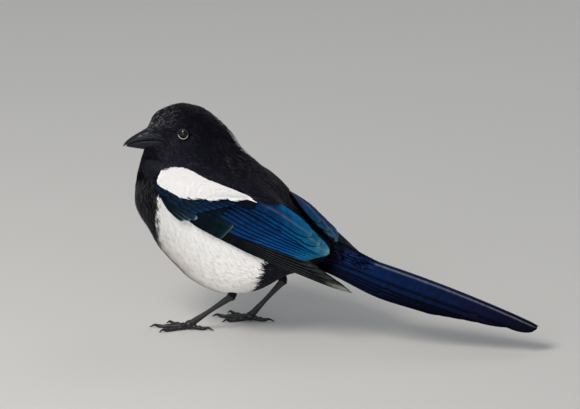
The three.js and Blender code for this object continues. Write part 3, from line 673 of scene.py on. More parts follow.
@dataclass
class WingForm:
    """The frame of a folded wing: distance along a straight axis, angle round it, and height.

    Args:
        side: which wing.
        body: the body that the wing lies on.
    """

    side: Side
    body: BodyForm
    start: tuple = (-160.6, 0.0, 140.5)
    end: tuple = (21.6, 0.0, 52.3)
    tip: float = 206.0
    tip_side: float = 24.5
    side_flare: float = 0.14
    most_side: float = 41.0
    most_up: float = 46.0
    blend: float = 4.0
    first: float = -30.0
    last: float = 226.0
    lowest: float = -80.0
    highest: float = 152.0
    step: float = 2.0

    def __post_init__(self) -> None:
        """Sets the side's own sizes and works out how far the body reaches from the axis."""
        right = self.side is Side.RIGHT
        self.tip_up = 12.0 if right else 14.0
        self.up_flare = 0.255 if right else 0.31
        self.lifted = 1.0 if right else 0.0
        self.heading = unit(np.array(self.end) - np.array(self.start))
        self.back = np.array([-self.heading[2], 0.0, self.heading[0]])
        s = np.arange(self.first, self.last, self.step)
        a = np.arange(self.lowest, self.highest, self.step)
        s, a = np.meshgrid(s, np.radians(a), indexing="ij")
        centre, direction = self.ray(s, a)
        held = self.body.inside(centre)
        low, high = np.zeros(s.shape), np.full(s.shape, 90.0)
        for _ in range(13):
            r = (low + high) / 2
            within = self.body.inside(centre + direction * r[..., None])
            low, high = np.where(within, r, low), np.where(within, high, r)
        reach = np.where(held, low, 0.0)
        sideways = np.minimum(self.most_side, self.tip_side + self.side_flare * (self.tip - s))
        upwards = np.minimum(self.most_up, self.tip_up + self.up_flare * (self.tip - s))
        own = np.degrees(a)
        ridge = (self.lifted * 7 * smooth(s, 85, 135) * smooth(own, -5, 34)
                 * (1 - smooth(own, 50, 100)))
        free = ridge + 1 / np.hypot(np.cos(a) / upwards, np.sin(a) / sideways)
        near = np.maximum(0, self.blend - np.abs(reach - free)) / self.blend
        self.base = np.maximum(reach, free) + near * near * self.blend / 4
        self.gap = self.base - reach

    def climb(self, s: Array) -> Array:
        """Degrees by which a raised wing's feathers turn up the back with distance."""
        return self.lifted * (18 * smooth(s, 60, 125) + 30 * smooth(s, 130, 206))

    def ray(self, s: Array, angle: Array) -> tuple[Array, Array]:
        """Axis points at distances s, and unit directions at angles round the axis."""
        across = np.sin(angle)[..., None] * np.array([0.0, float(self.side), 0.0])
        return (np.array(self.start) + s[..., None] * self.heading,
                np.cos(angle)[..., None] * self.back + across)

    def point(self, s: Array, degrees: Array, height: Array) -> Array:
        """A point over the wing's underlay.

        Args:
            s: distance along the axis, 0 at the wrist.
            degrees: angle round the axis, 0 towards the back and 90 outwards.
            height: height over the underlay, in mm.

        Returns:
            Points, shape (..., 3).
        """
        s, degrees, height = np.broadcast_arrays(s, degrees, height)
        own = degrees - self.climb(s)
        x = np.clip((s - self.first) / self.step, 1, self.base.shape[0] - 3)
        y = np.clip((own - self.lowest) / self.step, 1, self.base.shape[1] - 3)
        i, j = x.astype(int), y.astype(int)
        wx, wy = cubic_weights(x - i), cubic_weights(y - j)
        base = sum(wx[k] * wy[m] * self.base[i + k - 1, j + m - 1]
                   for k in range(4) for m in range(4))
        centre, direction = self.ray(s, np.radians(own))
        return centre + direction * (base + height)[..., None]

    def over_body(self, s: Array, degrees: Array) -> Array:
        """How far the frame stands over the body, mixed from the four nearest places of its table.

        Args:
            s: distance along the axis.
            degrees: angle round the axis.

        Returns:
            Heights in mm.
        """
        rows, columns = self.gap.shape
        x = np.clip((s - self.first) / self.step, 0, rows - 1)
        y = np.clip((degrees - self.climb(s) - self.lowest) / self.step, 0, columns - 1)
        i, j = np.minimum(x.astype(int), rows - 2), np.minimum(y.astype(int), columns - 2)
        near = lerp(self.gap[i, j], self.gap[i + 1, j], x - i)
        far = lerp(self.gap[i, j + 1], self.gap[i + 1, j + 1], x - i)
        return lerp(near, far, y - j)

    def place_of(self, p: Array) -> tuple[Array, Array]:
        """Distance along the axis and angle round it of points on either side."""
        rel = p - np.array(self.start)
        return rel @ self.heading, np.degrees(np.arctan2(np.abs(p[..., 1]), rel @ self.back))

    def patch_upper(self, s: Array) -> Array:
        """The shoulder patch's upper edge, in degrees, through a row of measured places."""
        edge = np.interp(s, (-3, -2.5, -1.5, 1.5, 4.5, 11, 18.5, 27.5, 37.5, 57, 71, 84.5),
                         (64, 58, 55, 51.5, 49, 46, 43.5, 43.5, 44.5, 44, 41.5, 37.5))
        return edge + 8 * self.lifted * smooth(s, -3, 4) * (1 - smooth(s, 30, 60))

    def patch_lower(self, s: Array) -> Array:
        """The shoulder patch's lower edge, in degrees, with the step behind its front lobe."""
        return np.interp(
            s, (-3, -2.5, -1.5, -0.5, 4.5, 12, 21.5, 29, 31.5, 40, 50, 57, 64, 72, 84.5),
            (66, 71, 75, 77, 78.5, 78, 77.5, 76, 71.5, 67.5, 62, 57, 51.5, 47, 38.5))

    def covered(self, p: Array) -> Array:
        """1 where the wing or the shoulder patch hides the body, and 0 elsewhere.

        Args:
            p: points.

        Returns:
            0 or 1 for each point.
        """
        s, degrees = self.place_of(p)
        patch = (s > -2) & (s < 64) & (degrees > self.patch_upper(s) + 4)
        patch &= degrees < self.patch_lower(s) - 3
        feathers = (s > 18) & (s < 140) & (degrees > 44) & (degrees < self.lower_edge(s) - 14)
        return (patch | feathers).astype(float)

    @staticmethod
    def covert_edge(s: Array) -> Array:
        """The upper edge of the covered hand and arm, in degrees."""
        return 69 - 22 * smooth(s, 0, 62)

    def lower_edge(self, s: Array) -> Array:
        """The folded wing's lower edge, in degrees."""
        return 80 + 19 * smooth(s, -2, 21) - 3 * smooth(s, 21, 42) - 13 * smooth(s, 84, 190)


@dataclass(frozen=True)
class TailForm:
    """The tail's frame: distance from the root, way round the arch, and height over it."""

    start: tuple = (-1.0, 0.0, 84.7)
    slope: float = math.radians(12.4)
    bend: float = math.radians(0.043)
    roll: float = math.radians(20)
    arch_start: float = math.radians(26)
    arch_growth: float = math.radians(0.75)

    def point(self, s: Array, q: Array, h: Array) -> Array:
        """A point of the tail.

        The arch leans down from its ridge by its first angle and by more with each millimetre.
        Way round it is added up in eight steps, then the arch is rolled and set along the slope.

        Args:
            s: distance from the root.
            q: way round the arch from its ridge, positive to the bird's right.
            h: height over the arch.

        Returns:
            Points, shape (..., 3).
        """
        s, q, h = np.broadcast_arrays(s, q, h)
        turn, slope = self.slope + self.bend * s / 2, self.slope + self.bend * s
        steps = 8
        step = np.abs(q) / steps
        angles = self.arch_start + self.arch_growth * step * (np.arange(steps)[:, None, None] + 0.5)
        y = (step * np.cos(angles)).sum(axis=0)
        z = -(step * np.sin(angles)).sum(axis=0)
        lean = self.arch_start * np.minimum(1, np.abs(q) / 4) + self.arch_growth * np.abs(q)
        y = np.sign(q) * (y + h * np.sin(lean))
        z = z + h * np.cos(lean)
        side = y * math.cos(self.roll) + z * math.sin(self.roll)
        up = y * math.sin(self.roll) + z * math.cos(self.roll)
        x0, _, z0 = self.start
        return np.stack([x0 + s * np.cos(turn) + up * np.sin(slope), side,
                         z0 - s * np.sin(turn) + up * np.cos(slope)], axis=-1)


# Feathers


@dataclass(frozen=True)
class Vane:
    """One flight or covering feather as a thin closed sheet with a raised shaft.

    Args:
        kind: which colours it has.
        place: gives points from the share along the vane, the way across it and the height.
        length: length in mm, for the barbs.
        width: half width in mm.
        order: its number in its row, counted from the row's outer or longest feather.
        shaft: where the shaft lies across the vane, from -1 to 1.
        root_share: width at the root over the full width.
        full: share of the length at which the vane is at full width.
        tip_length: share of the length that the tip takes.
        taper: share of the width that the vane loses towards its tip.
        point: how the tip narrows: 0.5 is a quarter ellipse and 1 comes to a point.
        splits: shallow splits in each edge.
        thickness: thickness in mm.
        rows, columns: points along and across.
    """

    kind: Plumage
    place: Surface
    length: float
    width: float
    order: int = 0
    shaft: float = 0.25
    root_share: float = 0.5
    full: float = 0.45
    tip_length: float = 0.16
    taper: float = 0.0
    point: float = 0.5
    splits: int = 3
    thickness: float = 0.22
    rows: int = 40
    columns: int = 15

    def shape(self, rng: Draw, paint: "Painter") -> Shape:
        """Builds the sheet: its half width grows from the root share to full, narrows by the
        taper, then ends in the tip, and a few shallow splits cut into its edges.

        Args:
            rng: the seeded draw for the splits.
            paint: gives the colours.

        Returns:
            The closed sheet.
        """
        u = np.linspace(0, 1, self.rows) ** 0.9
        grown = lerp(self.root_share, 1, smooth(u, 0, self.full))
        grown = grown * (1 - self.taper * smooth(u, self.full, 1))
        past = np.maximum(0, (u - (1 - self.tip_length)) / self.tip_length)
        width = self.width * grown * np.maximum(0.004, 1 - past * past) ** self.point
        v = np.sin(np.linspace(-1, 1, self.columns) * math.pi / 2 * 0.98)
        splits = np.ones((2, self.rows))
        for edge in splits:
            for _ in range(self.splits):
                edge *= 1 - 0.1 * np.exp(-(((u - rng.uniform(0.3, 0.97)) * 90) ** 2))
        reach = np.where(v[None, :] > 0, splits[1][:, None], splits[0][:, None])
        across = width[:, None] * v[None, :] * reach
        rachis = 0.32 * np.exp(-(((v - self.shaft) / 0.11) ** 2))[None, :] * (1 - 0.8 * u[:, None])
        camber = 0.35 * (1 - v[None, :] ** 2) * np.minimum(1, self.width / 5)
        us = np.broadcast_to(u[:, None], across.shape)
        upper = self.place(us, across, self.thickness + rachis + camber)
        lower = self.place(us, across, camber)
        vs = np.broadcast_to(v[None, :], across.shape)
        tint = paint.vane(self, us, vs)
        tint = slab(tint, tint * 0.35)
        pair = np.stack([us * self.length, across - self.shaft * self.width], axis=-1) / 100
        return tube(slab(upper, lower), tint, slab(pair, pair))


@dataclass(frozen=True)
class Painter:
    """Colours of the plumage, as formulas of place.

    Args:
        side: the side that is painted; both are alike apart from the gloss.
    """

    side: Side = Side.LEFT

    def vane(self, vane: Vane, u: Array, v: Array) -> Array:
        """Colours of any feather, by its kind.

        Args:
            vane: the feather.
            u: share along it, 0 at the root.
            v: way across it, -1 at the inner edge and 1 at the outer edge.

        Returns:
            Linear colours.
        """
        painters = {Plumage.PRIMARY: self.primary, Plumage.SECONDARY: self.secondary,
                    Plumage.TERTIAL: self.tertial, Plumage.GREATER_COVERT: self.greater_covert,
                    Plumage.PRIMARY_COVERT: self.primary_covert, Plumage.ALULA: self.alula,
                    Plumage.LESSER_COVERT: self.lesser_covert, Plumage.TAIL: self.tail}
        return painters[vane.kind](vane, u, v)

    @staticmethod
    def rachis(vane: Vane, v: Array, width: float = 0.07) -> Array:
        """How near each place across a vane lies to its shaft, from 0 to 1, as a bell curve."""
        return np.exp(-(((v - vane.shaft) / width) ** 2))[..., None]

    def primary(self, vane: Vane, u: Array, v: Array) -> Array:
        """Dull black with a pale outer rim, and a grey tip on the outermost two.

        Args:
            vane, u, v: as in vane.

        Returns:
            Linear colours.
        """
        outer = shade(v, vane.shaft - 0.15, vane.shaft + 0.1)
        base = lerp(linear("#08090c"), linear("#0c0d0f"), outer)
        rim = shade(v, 0.88, 0.95) * shade(u, 0.2, 0.7)
        base = lerp(base, linear("#5f6158"), rim * lerp(0.6, 0.9, 1.0 if vane.order < 1 else 0.35))
        grey = shade(u, 0.82, 0.96) * shade(v, -0.9, 0.2)
        base = lerp(base, linear("#8d9488"), grey * (1.0 if vane.order < 2 else 0.12))
        return lerp(base, linear("#2c2d30"), self.rachis(vane, v) * 0.5)

    def secondary(self, vane: Vane, u: Array, v: Array) -> Array:
        """Blue outer half between black edges, with a greenish rim near the tip. The blue darkens
        towards the inner side, and the outer black edge is partly the feather's own and partly
        painted shade between overlapping feathers.

        Args:
            vane, u, v: as in vane.

        Returns:
            Linear colours.
        """
        blue = ramp(u, [(0.0, "#071c38"), (0.4, "#0a315f"), (0.75, "#0c4c88"),
                        (0.93, "#0f649c"), (1.0, "#2284a4")])
        # Painted shade between overlapping feathers: the blue darkens towards the inner side, and
        # the outer edge turns black, partly the feather's own dark edge.
        blue = blue * lerp(0.65, 1.2, shade(v, 0.1, 0.8))
        base = lerp(linear("#08090c"), blue, shade(v, -0.1, 0.3))
        base = lerp(base, linear("#010407"), shade(v, 0.8, 0.93))
        rim = shade(v, 0.93, 0.98) * shade(u, 0.8, 1)
        return lerp(base, linear("#3bb0cf"), rim * 0.8)

    def tertial(self, vane: Vane, u: Array, v: Array) -> Array:
        """Bright blue with a painted highlight along the inner half, a pale shaft, dark rims that
        are partly the feather's own edge and partly painted shade between feathers, and a pale end;
        the right wing's turn violet.

        Args:
            vane, u, v: as in vane.

        Returns:
            Linear colours.
        """
        stops = {0: [(0.3, "#08254a"), (0.6, "#0b467c"), (0.86, "#146f9c"), (1.0, "#4d8494")],
                 1: [(0.3, "#08254a"), (0.6, "#0b4a82"), (0.86, "#126594"), (1.0, "#235f74")],
                 2: [(0.2, "#071a33"), (0.6, "#0a3767"), (0.86, "#0e5a8c"), (1.0, "#14688c")]}
        left = self.side is Side.LEFT
        base = ramp(u, stops[vane.order])
        if not left:
            base = lerp(base * 0.45, linear("#14205c"), shade(v, -0.6, 0.5) * 0.6)
        # Painted highlight along the inner half, strong on the left wing and faint on the right.
        bright = shade(-v, 0.0, 0.7) * shade(u, 0.3, 0.6)
        base = lerp(base, linear("#0c72b0"),
                    bright * (0.6 if left else 0.1) * (1 - shade(u, 0.84, 0.99)))
        base = lerp(base, linear("#b8c2c0"), self.rachis(vane, v) * shade(u, 0.35, 0.6) * 0.4)
        # Dark rims: partly the feather's own edge, partly painted shade between overlapping
        # feathers.
        rim = shade(v, 0.86, 0.94) + shade(-v, 0.93, 0.99)
        base = lerp(base, linear("#02080e"), np.minimum(1, rim) * 0.9)
        end = shade(u, 0.955, 0.995) * (0.6 if vane.order == 0 else 0.4)
        return lerp(base, linear("#7fb4b4"), end if left else end * 0.4)

    def greater_covert(self, vane: Vane, u: Array, v: Array) -> Array:
        """Deep blue with a dark outer edge; the last two by the body are nearly black."""
        base = lerp(ramp(u, [(0.0, "#06101c"), (0.7, "#0a213c"), (1.0, "#0f3350")]),
                    linear("#05080d"), shade(v, 0.75, 0.95))
        return lerp(base, linear("#100e18"), 0.92 if vane.order > 7 else 0.0)

    def primary_covert(self, vane: Vane, u: Array, v: Array) -> Array:
        """Dark green with a black outer edge and a faint pale end."""
        stops = [(0.0, "#04070a"), (0.6, "#071216"), (0.9, "#0d2429"), (1.0, "#1b3a3e")]
        base = lerp(ramp(u, stops), linear("#030507"),
                    shade(v, 0.6, 0.85) * (1 - shade(u, 0.84, 0.99)))
        return lerp(base, linear("#9fc2c0"), shade(u, 0.95, 0.99) * 0.25)

    def alula(self, vane: Vane, u: Array, v: Array) -> Array:
        """Dark green with a grey outer edge and a pale end."""
        base = lerp(ramp(u, [(0.0, "#070b10"), (0.7, "#0c171d"), (1.0, "#1a3238")]),
                    linear("#5c7076"), shade(v, 0.8, 0.93) * shade(u, 0.4, 0.8) * 0.5)
        return lerp(base, linear("#b4c2be"), shade(u, 0.94, 0.98) * 0.5)

    def lesser_covert(self, vane: Vane, u: Array, v: Array) -> Array:
        """Dark blue green with black edges."""
        base = ramp(u, [(0.0, "#060c14"), (0.7, "#0a1c2a"), (1.0, "#11303d")])
        return lerp(base, linear("#04070a"), shade(np.abs(v), 0.7, 0.98))

    def tail(self, vane: Vane, u: Array, v: Array) -> Array:
        """The middle pair is glossy blue to both edges, the others only on their outer side.

        Args:
            vane, u, v: as in vane.

        Returns:
            Linear colours.
        """
        gloss = ramp(u, [(0.0, "#06122a"), (0.25, "#081c44"), (0.55, "#0a1a3a"), (0.75, "#10122e"),
                         (0.9, "#0f0d20"), (1.0, "#0a0a12")])
        black = linear("#030407")
        if vane.order == 0:
            base = lerp(gloss * 1.15, black, shade(np.abs(v), 0.7, 0.95) * 0.85)
        else:
            base = lerp(black, gloss * 0.9, shade(v, 0.35, 0.6))
            base = lerp(base, black * 0.5, shade(v, 0.8, 0.95))
        shaft = self.rachis(vane, v, 0.05)
        return lerp(base, linear("#8a92a0"), shaft * (0.6 if vane.order == 0 else 0.2))


@dataclass(frozen=True)
class Markings:
    """Where the coat is black and where it is white, in the straight body's side view."""

    bib_z: tuple = (70, 77, 86, 106, 127, 145, 165)
    bib_x: tuple = (-190, -167, -163, -162.5, -160, -159, -157)
    rear_z: tuple = (30, 39, 48.5, 59, 70.5, 82, 95, 115)
    rear_x: tuple = (-93, -82, -74, -69, -66, -61, -60, -58)

    def white(self, p: Array, wing: WingForm) -> Array:
        """How white each place is: behind the bib, in front of the vent, below the wing's axis.

        Args:
            p: points of the straight body.
            wing: a wing, for its axis.

        Returns:
            1 where it is white and 0 where it is black.
        """
        x, z = p[..., 0], p[..., 2]
        behind = smooth(x - np.interp(z, self.bib_z, self.bib_x), -0.6, 0.6)
        before = smooth(np.interp(z, self.rear_z, self.rear_x) - x, -0.8, 0.8)
        over = (p - np.array(wing.start)) @ wing.back
        return behind * before * (1 - smooth(over, 4, 8))

    @staticmethod
    def flecks(p: Array) -> Array:
        """Spots about 2 mm wide where feather tips catch the light: crossed waves, bent by each
        other so that no rows show.

        Args:
            p: points of the straight body.

        Returns:
            1 in a spot's middle and 0 between spots.
        """
        x, y, z = p[..., 0], p[..., 1], p[..., 2]
        one = np.sin(1.7 * x + 1.6 * np.sin(0.9 * z + 0.5 * y))
        two = np.sin(1.5 * z - 0.8 * x + 1.9 * np.sin(0.8 * x + 0.7 * y))
        return smooth(one * two, 0.2, 0.7)

    def colour(self, p: Array, wing: WingForm) -> Array:
        """Linear colours of the coat at points of the straight body.

        Args:
            p: the points.
            wing: a wing, for its axis.

        Returns:
            Linear colours.
        """
        # Painted shade: the white turns darker and warmer low on the body, most of all at its lower
        # front.
        low = 1 - smooth(p[..., 2], 45, 105)
        front = 1 - smooth(p[..., 0], -165, -120)
        painted_shade = (0.6 * low * front + 0.1 * low)[..., None]
        white = lerp(linear("#f4f3f0"), linear("#e0c7a2"), painted_shade)
        # Painted sheen: the black turns a little violet higher up.
        black = lerp(linear("#08090e"), linear("#0b0a12"), shade(p[..., 2], 100, 200))
        return lerp(black, white, self.white(p, wing)[..., None])


@dataclass(frozen=True)
class Tufts:
    """Small feathers as slim closed blades, whose roots are sunk in the skin.

    Args:
        surface: points from two places on a skin and a height over it; growth in the first
            place is the lie of the coat.
        depth: how deep the skin lies under the outline, in mm.
        lift: how far the tips stand over the outline, in mm.
        soft: how far the shading follows the skin instead of the blade, from 0 to 1.
        thick: the ridge's height over the half width.
        root_shade: the root's brightness over the tip's.
    """

    surface: Surface
    depth: float
    lift: float
    soft: float
    thick: float = 0.3
    root_shade: float = 0.6

    def shape(self, t: Array, a: Array, length: Array, width: Array,
              veer: Array, tint: Array, bake: Array,
              rng: Draw) -> Shape:
        """All blades as one mesh: two rings of three points and a tip each.

        Args:
            t, a: places of the roots.
            length, width: full length and half width of each blade, in mm.
            veer: sideways turn of each blade as a share of its length.
            tint: colour of each blade.
            bake: place of each root on the skin's unwrap.
            rng: the seeded draw for small differences.

        Returns:
            The mesh.
        """
        n = len(t)
        e = 1e-3
        zero = np.zeros(n)
        here = self.surface(t, a, zero)
        along = (self.surface(t + e, a, zero) - here) / e
        aside = (self.surface(t, a + e, zero) - here) / e
        speed = np.maximum(np.linalg.norm(along, axis=-1), 1e-3)
        turn = np.maximum(np.linalg.norm(aside, axis=-1), 1e-3)
        out = unit(self.surface(t, a, zero + 1.0) - here)
        dt, da = length / speed, veer * length / turn
        lift = self.lift * rng.uniform(0.4, 1.3, n)
        middles = []
        for u, height in ((0.0, -self.depth), (0.5, -0.3 * self.depth + 0.5 * lift), (1.0, lift)):
            middles.append(self.surface(t + dt * u, a + da * u, zero + height))
        root, mid, tip = middles
        side = unit(np.cross(out, unit(tip - root)))
        ridge = unit(np.cross(unit(tip - root), side))
        points = np.empty((n, 7, 3))
        for k, (c, w) in enumerate(((root, 0.7), (mid, 1.0))):
            half = (width * w)[:, None]
            points[:, 3 * k] = c - side * half
            points[:, 3 * k + 1] = c + side * half
            points[:, 3 * k + 2] = c + ridge * half * self.thick
        points[:, 6] = tip
        base = (np.arange(n) * 7)[:, None]
        quads = np.array([[1, 4, 3, 0], [2, 5, 4, 1], [0, 3, 5, 2]])
        tris = np.array([[4, 6, 3], [5, 6, 4], [3, 6, 5], [2, 1, 0]])
        faces = [(base[:, None] + f[None]).reshape(-1, f.shape[1]) for f in (tris, quads)]
        own = np.stack([-side, side, ridge, -side, side, ridge, ridge], axis=1)
        shading = unit(lerp(own, np.broadcast_to(out[:, None], own.shape), self.soft))
        share = np.array([0.0, 0.0, 0.1, 0.8, 0.8, 0.9, 1.0])[None, :, None]
        fade = lerp(self.root_shade, 1.0, share)
        local = np.array([[0, 0], [1, 0], [0.5, 0], [0, 0.5], [1, 0.5], [0.5, 0.5], [0.5, 1]])
        spots = bake[:, None] + local[None] * 0.003
        return Shape(points.reshape(-1, 3), faces, (tint[:, None] * fade).reshape(-1, 3),
                     bake=spots.reshape(-1, 2), normals=shading.reshape(-1, 3))


def scatter(surface: Surface, density: Callable[[Array, Array], Array],
            spans: tuple[float, float, float, float], rng: Draw,
            cells: int = 160) -> tuple[Array, Array]:
    """Places spread over a surface in proportion to a density for each square millimetre.

    Each cell of a grid gets a share by its area and density, and its places are drawn evenly.

    Args:
        surface: points from two places and a height.
        density: pieces for each square millimetre at two places.
        spans: lowest and highest of both places.
        rng: the seeded draw.
        cells: cells along each side of the grid.

    Returns:
        The two places of each piece.
    """
    t = np.linspace(spans[0], spans[1], cells + 1)
    a = np.linspace(spans[2], spans[3], cells + 1)
    t, a = np.meshgrid(t, a, indexing="ij")
    p = surface(t, a, np.zeros(t.shape))
    area = np.linalg.norm(np.cross(p[1:, :-1] - p[:-1, :-1], p[:-1, 1:] - p[:-1, :-1]), axis=-1)
    mid_t, mid_a = (t[1:, 1:] + t[:-1, :-1]) / 2, (a[1:, 1:] + a[:-1, :-1]) / 2
    share = area * density(mid_t, mid_a)
    counts = rng.poisson(share).ravel()
    cell = np.repeat(np.arange(counts.size), counts)
    steps = ((spans[1] - spans[0]) / cells, (spans[3] - spans[2]) / cells)
    return (mid_t.ravel()[cell] + rng.uniform(-0.5, 0.5, cell.size) * steps[0],
            mid_a.ravel()[cell] + rng.uniform(-0.5, 0.5, cell.size) * steps[1])


# The bird's parts


@dataclass
class Body:
    """Skin and coat from the face to the tail root."""

    form: BodyForm
    wing: WingForm
    markings: Markings
    skin: Material
    black: Material
    white: Material
    depth: float = 2.6
    head_depth: float = 1.2
    white_depth: float = 0.5
    corner_cut: float = 1.7
    corner_angle: float = 0.8
    lid_ring: tuple = (5.5, 7.6)
    socket: float = 3.0
    most_blades: int = 18000
    rows: int = 200
    around: int = 128

    def surface(self, t: Array, a: Array, grow: Array) -> Array:
        """The body's outline, with the crown's corners rounded off by a bell curve round each.

        Args:
            t, a, grow: as in BodyForm.straight.

        Returns:
            Points of the turned bird.
        """
        from_back = np.abs(np.angle(np.exp(1j * a)))
        off = self.corner_cut * np.exp(-(((from_back - self.corner_angle) / 0.32) ** 2))
        return self.form.point(t, a, grow - off * (1 - smooth(t, 0.22, 0.4)) * smooth(t, 0, 0.08))

    def eye_clear(self, p: Array) -> Array:
        """1 away from both eyes and 0 within the ring of their lids."""
        gaps = [np.linalg.norm(p - Eyes.centre(self.form, side), axis=-1) for side in Side]
        return smooth(np.minimum(*gaps), *self.lid_ring)

    def build_skin(self) -> None:
        """One closed skin over the body's slices, sunk by the coat's depth, dimpled at the eyes."""
        t = np.linspace(0, 1, self.rows)[:, None]
        a = ring_angles(self.around, math.pi / 2)
        grow = np.full((self.rows, self.around), -self.depth)
        pale = self.markings.white(self.form.straight(t, a, grow), self.wing)
        dark_depth = lerp(self.head_depth, self.depth, smooth(t, 0.12, 0.35))
        grow = -lerp(dark_depth, self.white_depth, pale)
        sunk = self.socket * (1 - self.eye_clear(self.surface(t, a, grow)))
        p = self.surface(t, a, grow - sunk)
        tint = self.markings.colour(self.form.straight(t, a, grow), self.wing)
        nodes = ("head", "neck", "breast", "belly", "mantle", "rump")
        add_piece("skin", tube(p, tint * 0.95), self.skin, nodes)

    def sizes(self, t: Array, white: Array) -> tuple[Array, Array]:
        """Sizes of the coat's blades, from tables along the body; white ones are longer.

        Args:
            t: place along the body.
            white: 1 for white blades and 0 for black ones.

        Returns:
            Lengths and half widths in mm.
        """
        length = np.interp(t, [0, 0.06, 0.14, 0.25, 0.35, 0.5, 0.7, 1],
                           [1.8, 2.2, 3.4, 4.6, 6.5, 8.5, 10, 12])
        length = lerp(length, np.maximum(length, 11.0), white)
        width = np.interp(t, [0, 0.1, 0.3, 0.6, 1], [0.25, 0.32, 0.42, 0.55, 0.6])
        return length, width * (1 + 0.2 * white)

    def lit(self, t: Array, a: Array, p: Array) -> Array:
        """How much the tips of black feathers catch the light on crown, throat and back: a table
        along the body and a step round it for each of the three, times the flecks.

        Args:
            t, a: places of the body.
            p: their points on the straight body.

        Returns:
            A share for each place.
        """
        up = np.cos(a)
        crown = np.interp(t, [0, 0.04, 0.14, 0.2, 0.24], [0.6, 1, 1, 0.3, 0.0])
        throat = np.interp(t, [0.2, 0.3, 0.45, 0.52], [0, 0.3, 0.3, 0])
        back = np.interp(t, [0.38, 0.46, 0.6, 0.75], [0, 0.25, 0.3, 0])
        share = (crown * smooth(up, 0.2, 0.6) + throat * smooth(-up, -0.2, 0.4)
                 + back * smooth(up, -0.1, 0.5))
        return share * self.markings.flecks(p)

    def build_coat(self, rng: Draw) -> None:
        """Blades over the whole body, in pieces by region.

        Args:
            rng: the seeded draw.
        """

        def density(t: Array, a: Array) -> Array:
            """Blades for each square millimetre by their area, none where the wing hides them."""
            straight = self.form.straight(t, a, 0 * t)
            white = self.markings.white(straight, self.wing)
            length, width = self.sizes(t, white)
            p = self.form.point(t, a, 0 * t)
            many = lerp(4.2, 6.5, white) / (length * width * 2)
            return many * (1 - self.wing.covered(p)) * self.eye_clear(p)

        t, a = scatter(self.form.point, density, (0.012, 0.985, 0, 2 * math.pi), rng)
        straight = self.form.straight(t, a, 0 * t)
        shaken = straight + rng.normal(0, 0.7, straight.shape)
        is_white = self.markings.white(shaken, self.wing) > 0.5
        length, width = self.sizes(t, is_white.astype(float))
        n = len(t)
        length *= rng.uniform(0.75, 1.2, n)
        width *= rng.uniform(0.8, 1.2, n)
        tint = self.markings.colour(shaken, self.wing)
        glow = rng.uniform(0.7, 1.35, n)
        glow = np.where(is_white, 1 + (glow - 1) * 0.05, glow)
        streaked = np.interp(t, [0, 0.1, 0.22, 0.35, 0.5, 0.8], [0.4, 0.3, 0.1, 0.05, 0.15, 0.1])
        grey = (rng.random(n) < streaked * (np.cos(a) > -0.2)) & ~is_white
        tint = np.where(grey[:, None], tint + linear("#202025"), tint)
        lit = self.lit(t, a, straight) * ~is_white
        tint = (tint + lit[:, None] * linear("#6a6a62")) * glow[:, None]
        bake = np.stack([t * 0.97, a / (2 * math.pi) * 0.97], axis=-1)
        veer = rng.normal(0, 0.16, n)
        regions = {"head": (t < 0.3) & ~is_white, "neck": (t >= 0.3) & (t < 0.5) & ~is_white,
                   "trunk": (t >= 0.5) & ~is_white,
                   "white_left": is_white & (straight[:, 1] < 0),
                   "white_right": is_white & (straight[:, 1] >= 0)}
        for region, chosen in regions.items():
            pale = region.startswith("white")
            depth = self.head_depth + 0.3 if region == "head" else self.depth
            tufts = Tufts(self.surface, depth, 0.6, 0.5)
            if pale:
                tufts = Tufts(self.surface, self.white_depth + 0.3, 0.05, 1.0, 0.06, 1.0)
            k = np.flatnonzero(chosen)
            pieces = max(1, math.ceil(len(k) / self.most_blades))
            for number, part in enumerate(np.array_split(k, pieces)):
                shape = tufts.shape(t[part], a[part], length[part], width[part], veer[part],
                                    tint[part], bake[part], rng)
                add_piece(f"coat_{region}_{number}", shape, self.white if pale else self.black)

    def build(self, rng: Draw) -> None:
        """Builds skin and coat.

        Args:
            rng: the seeded draw.
        """
        self.build_skin()
        self.build_coat(rng)


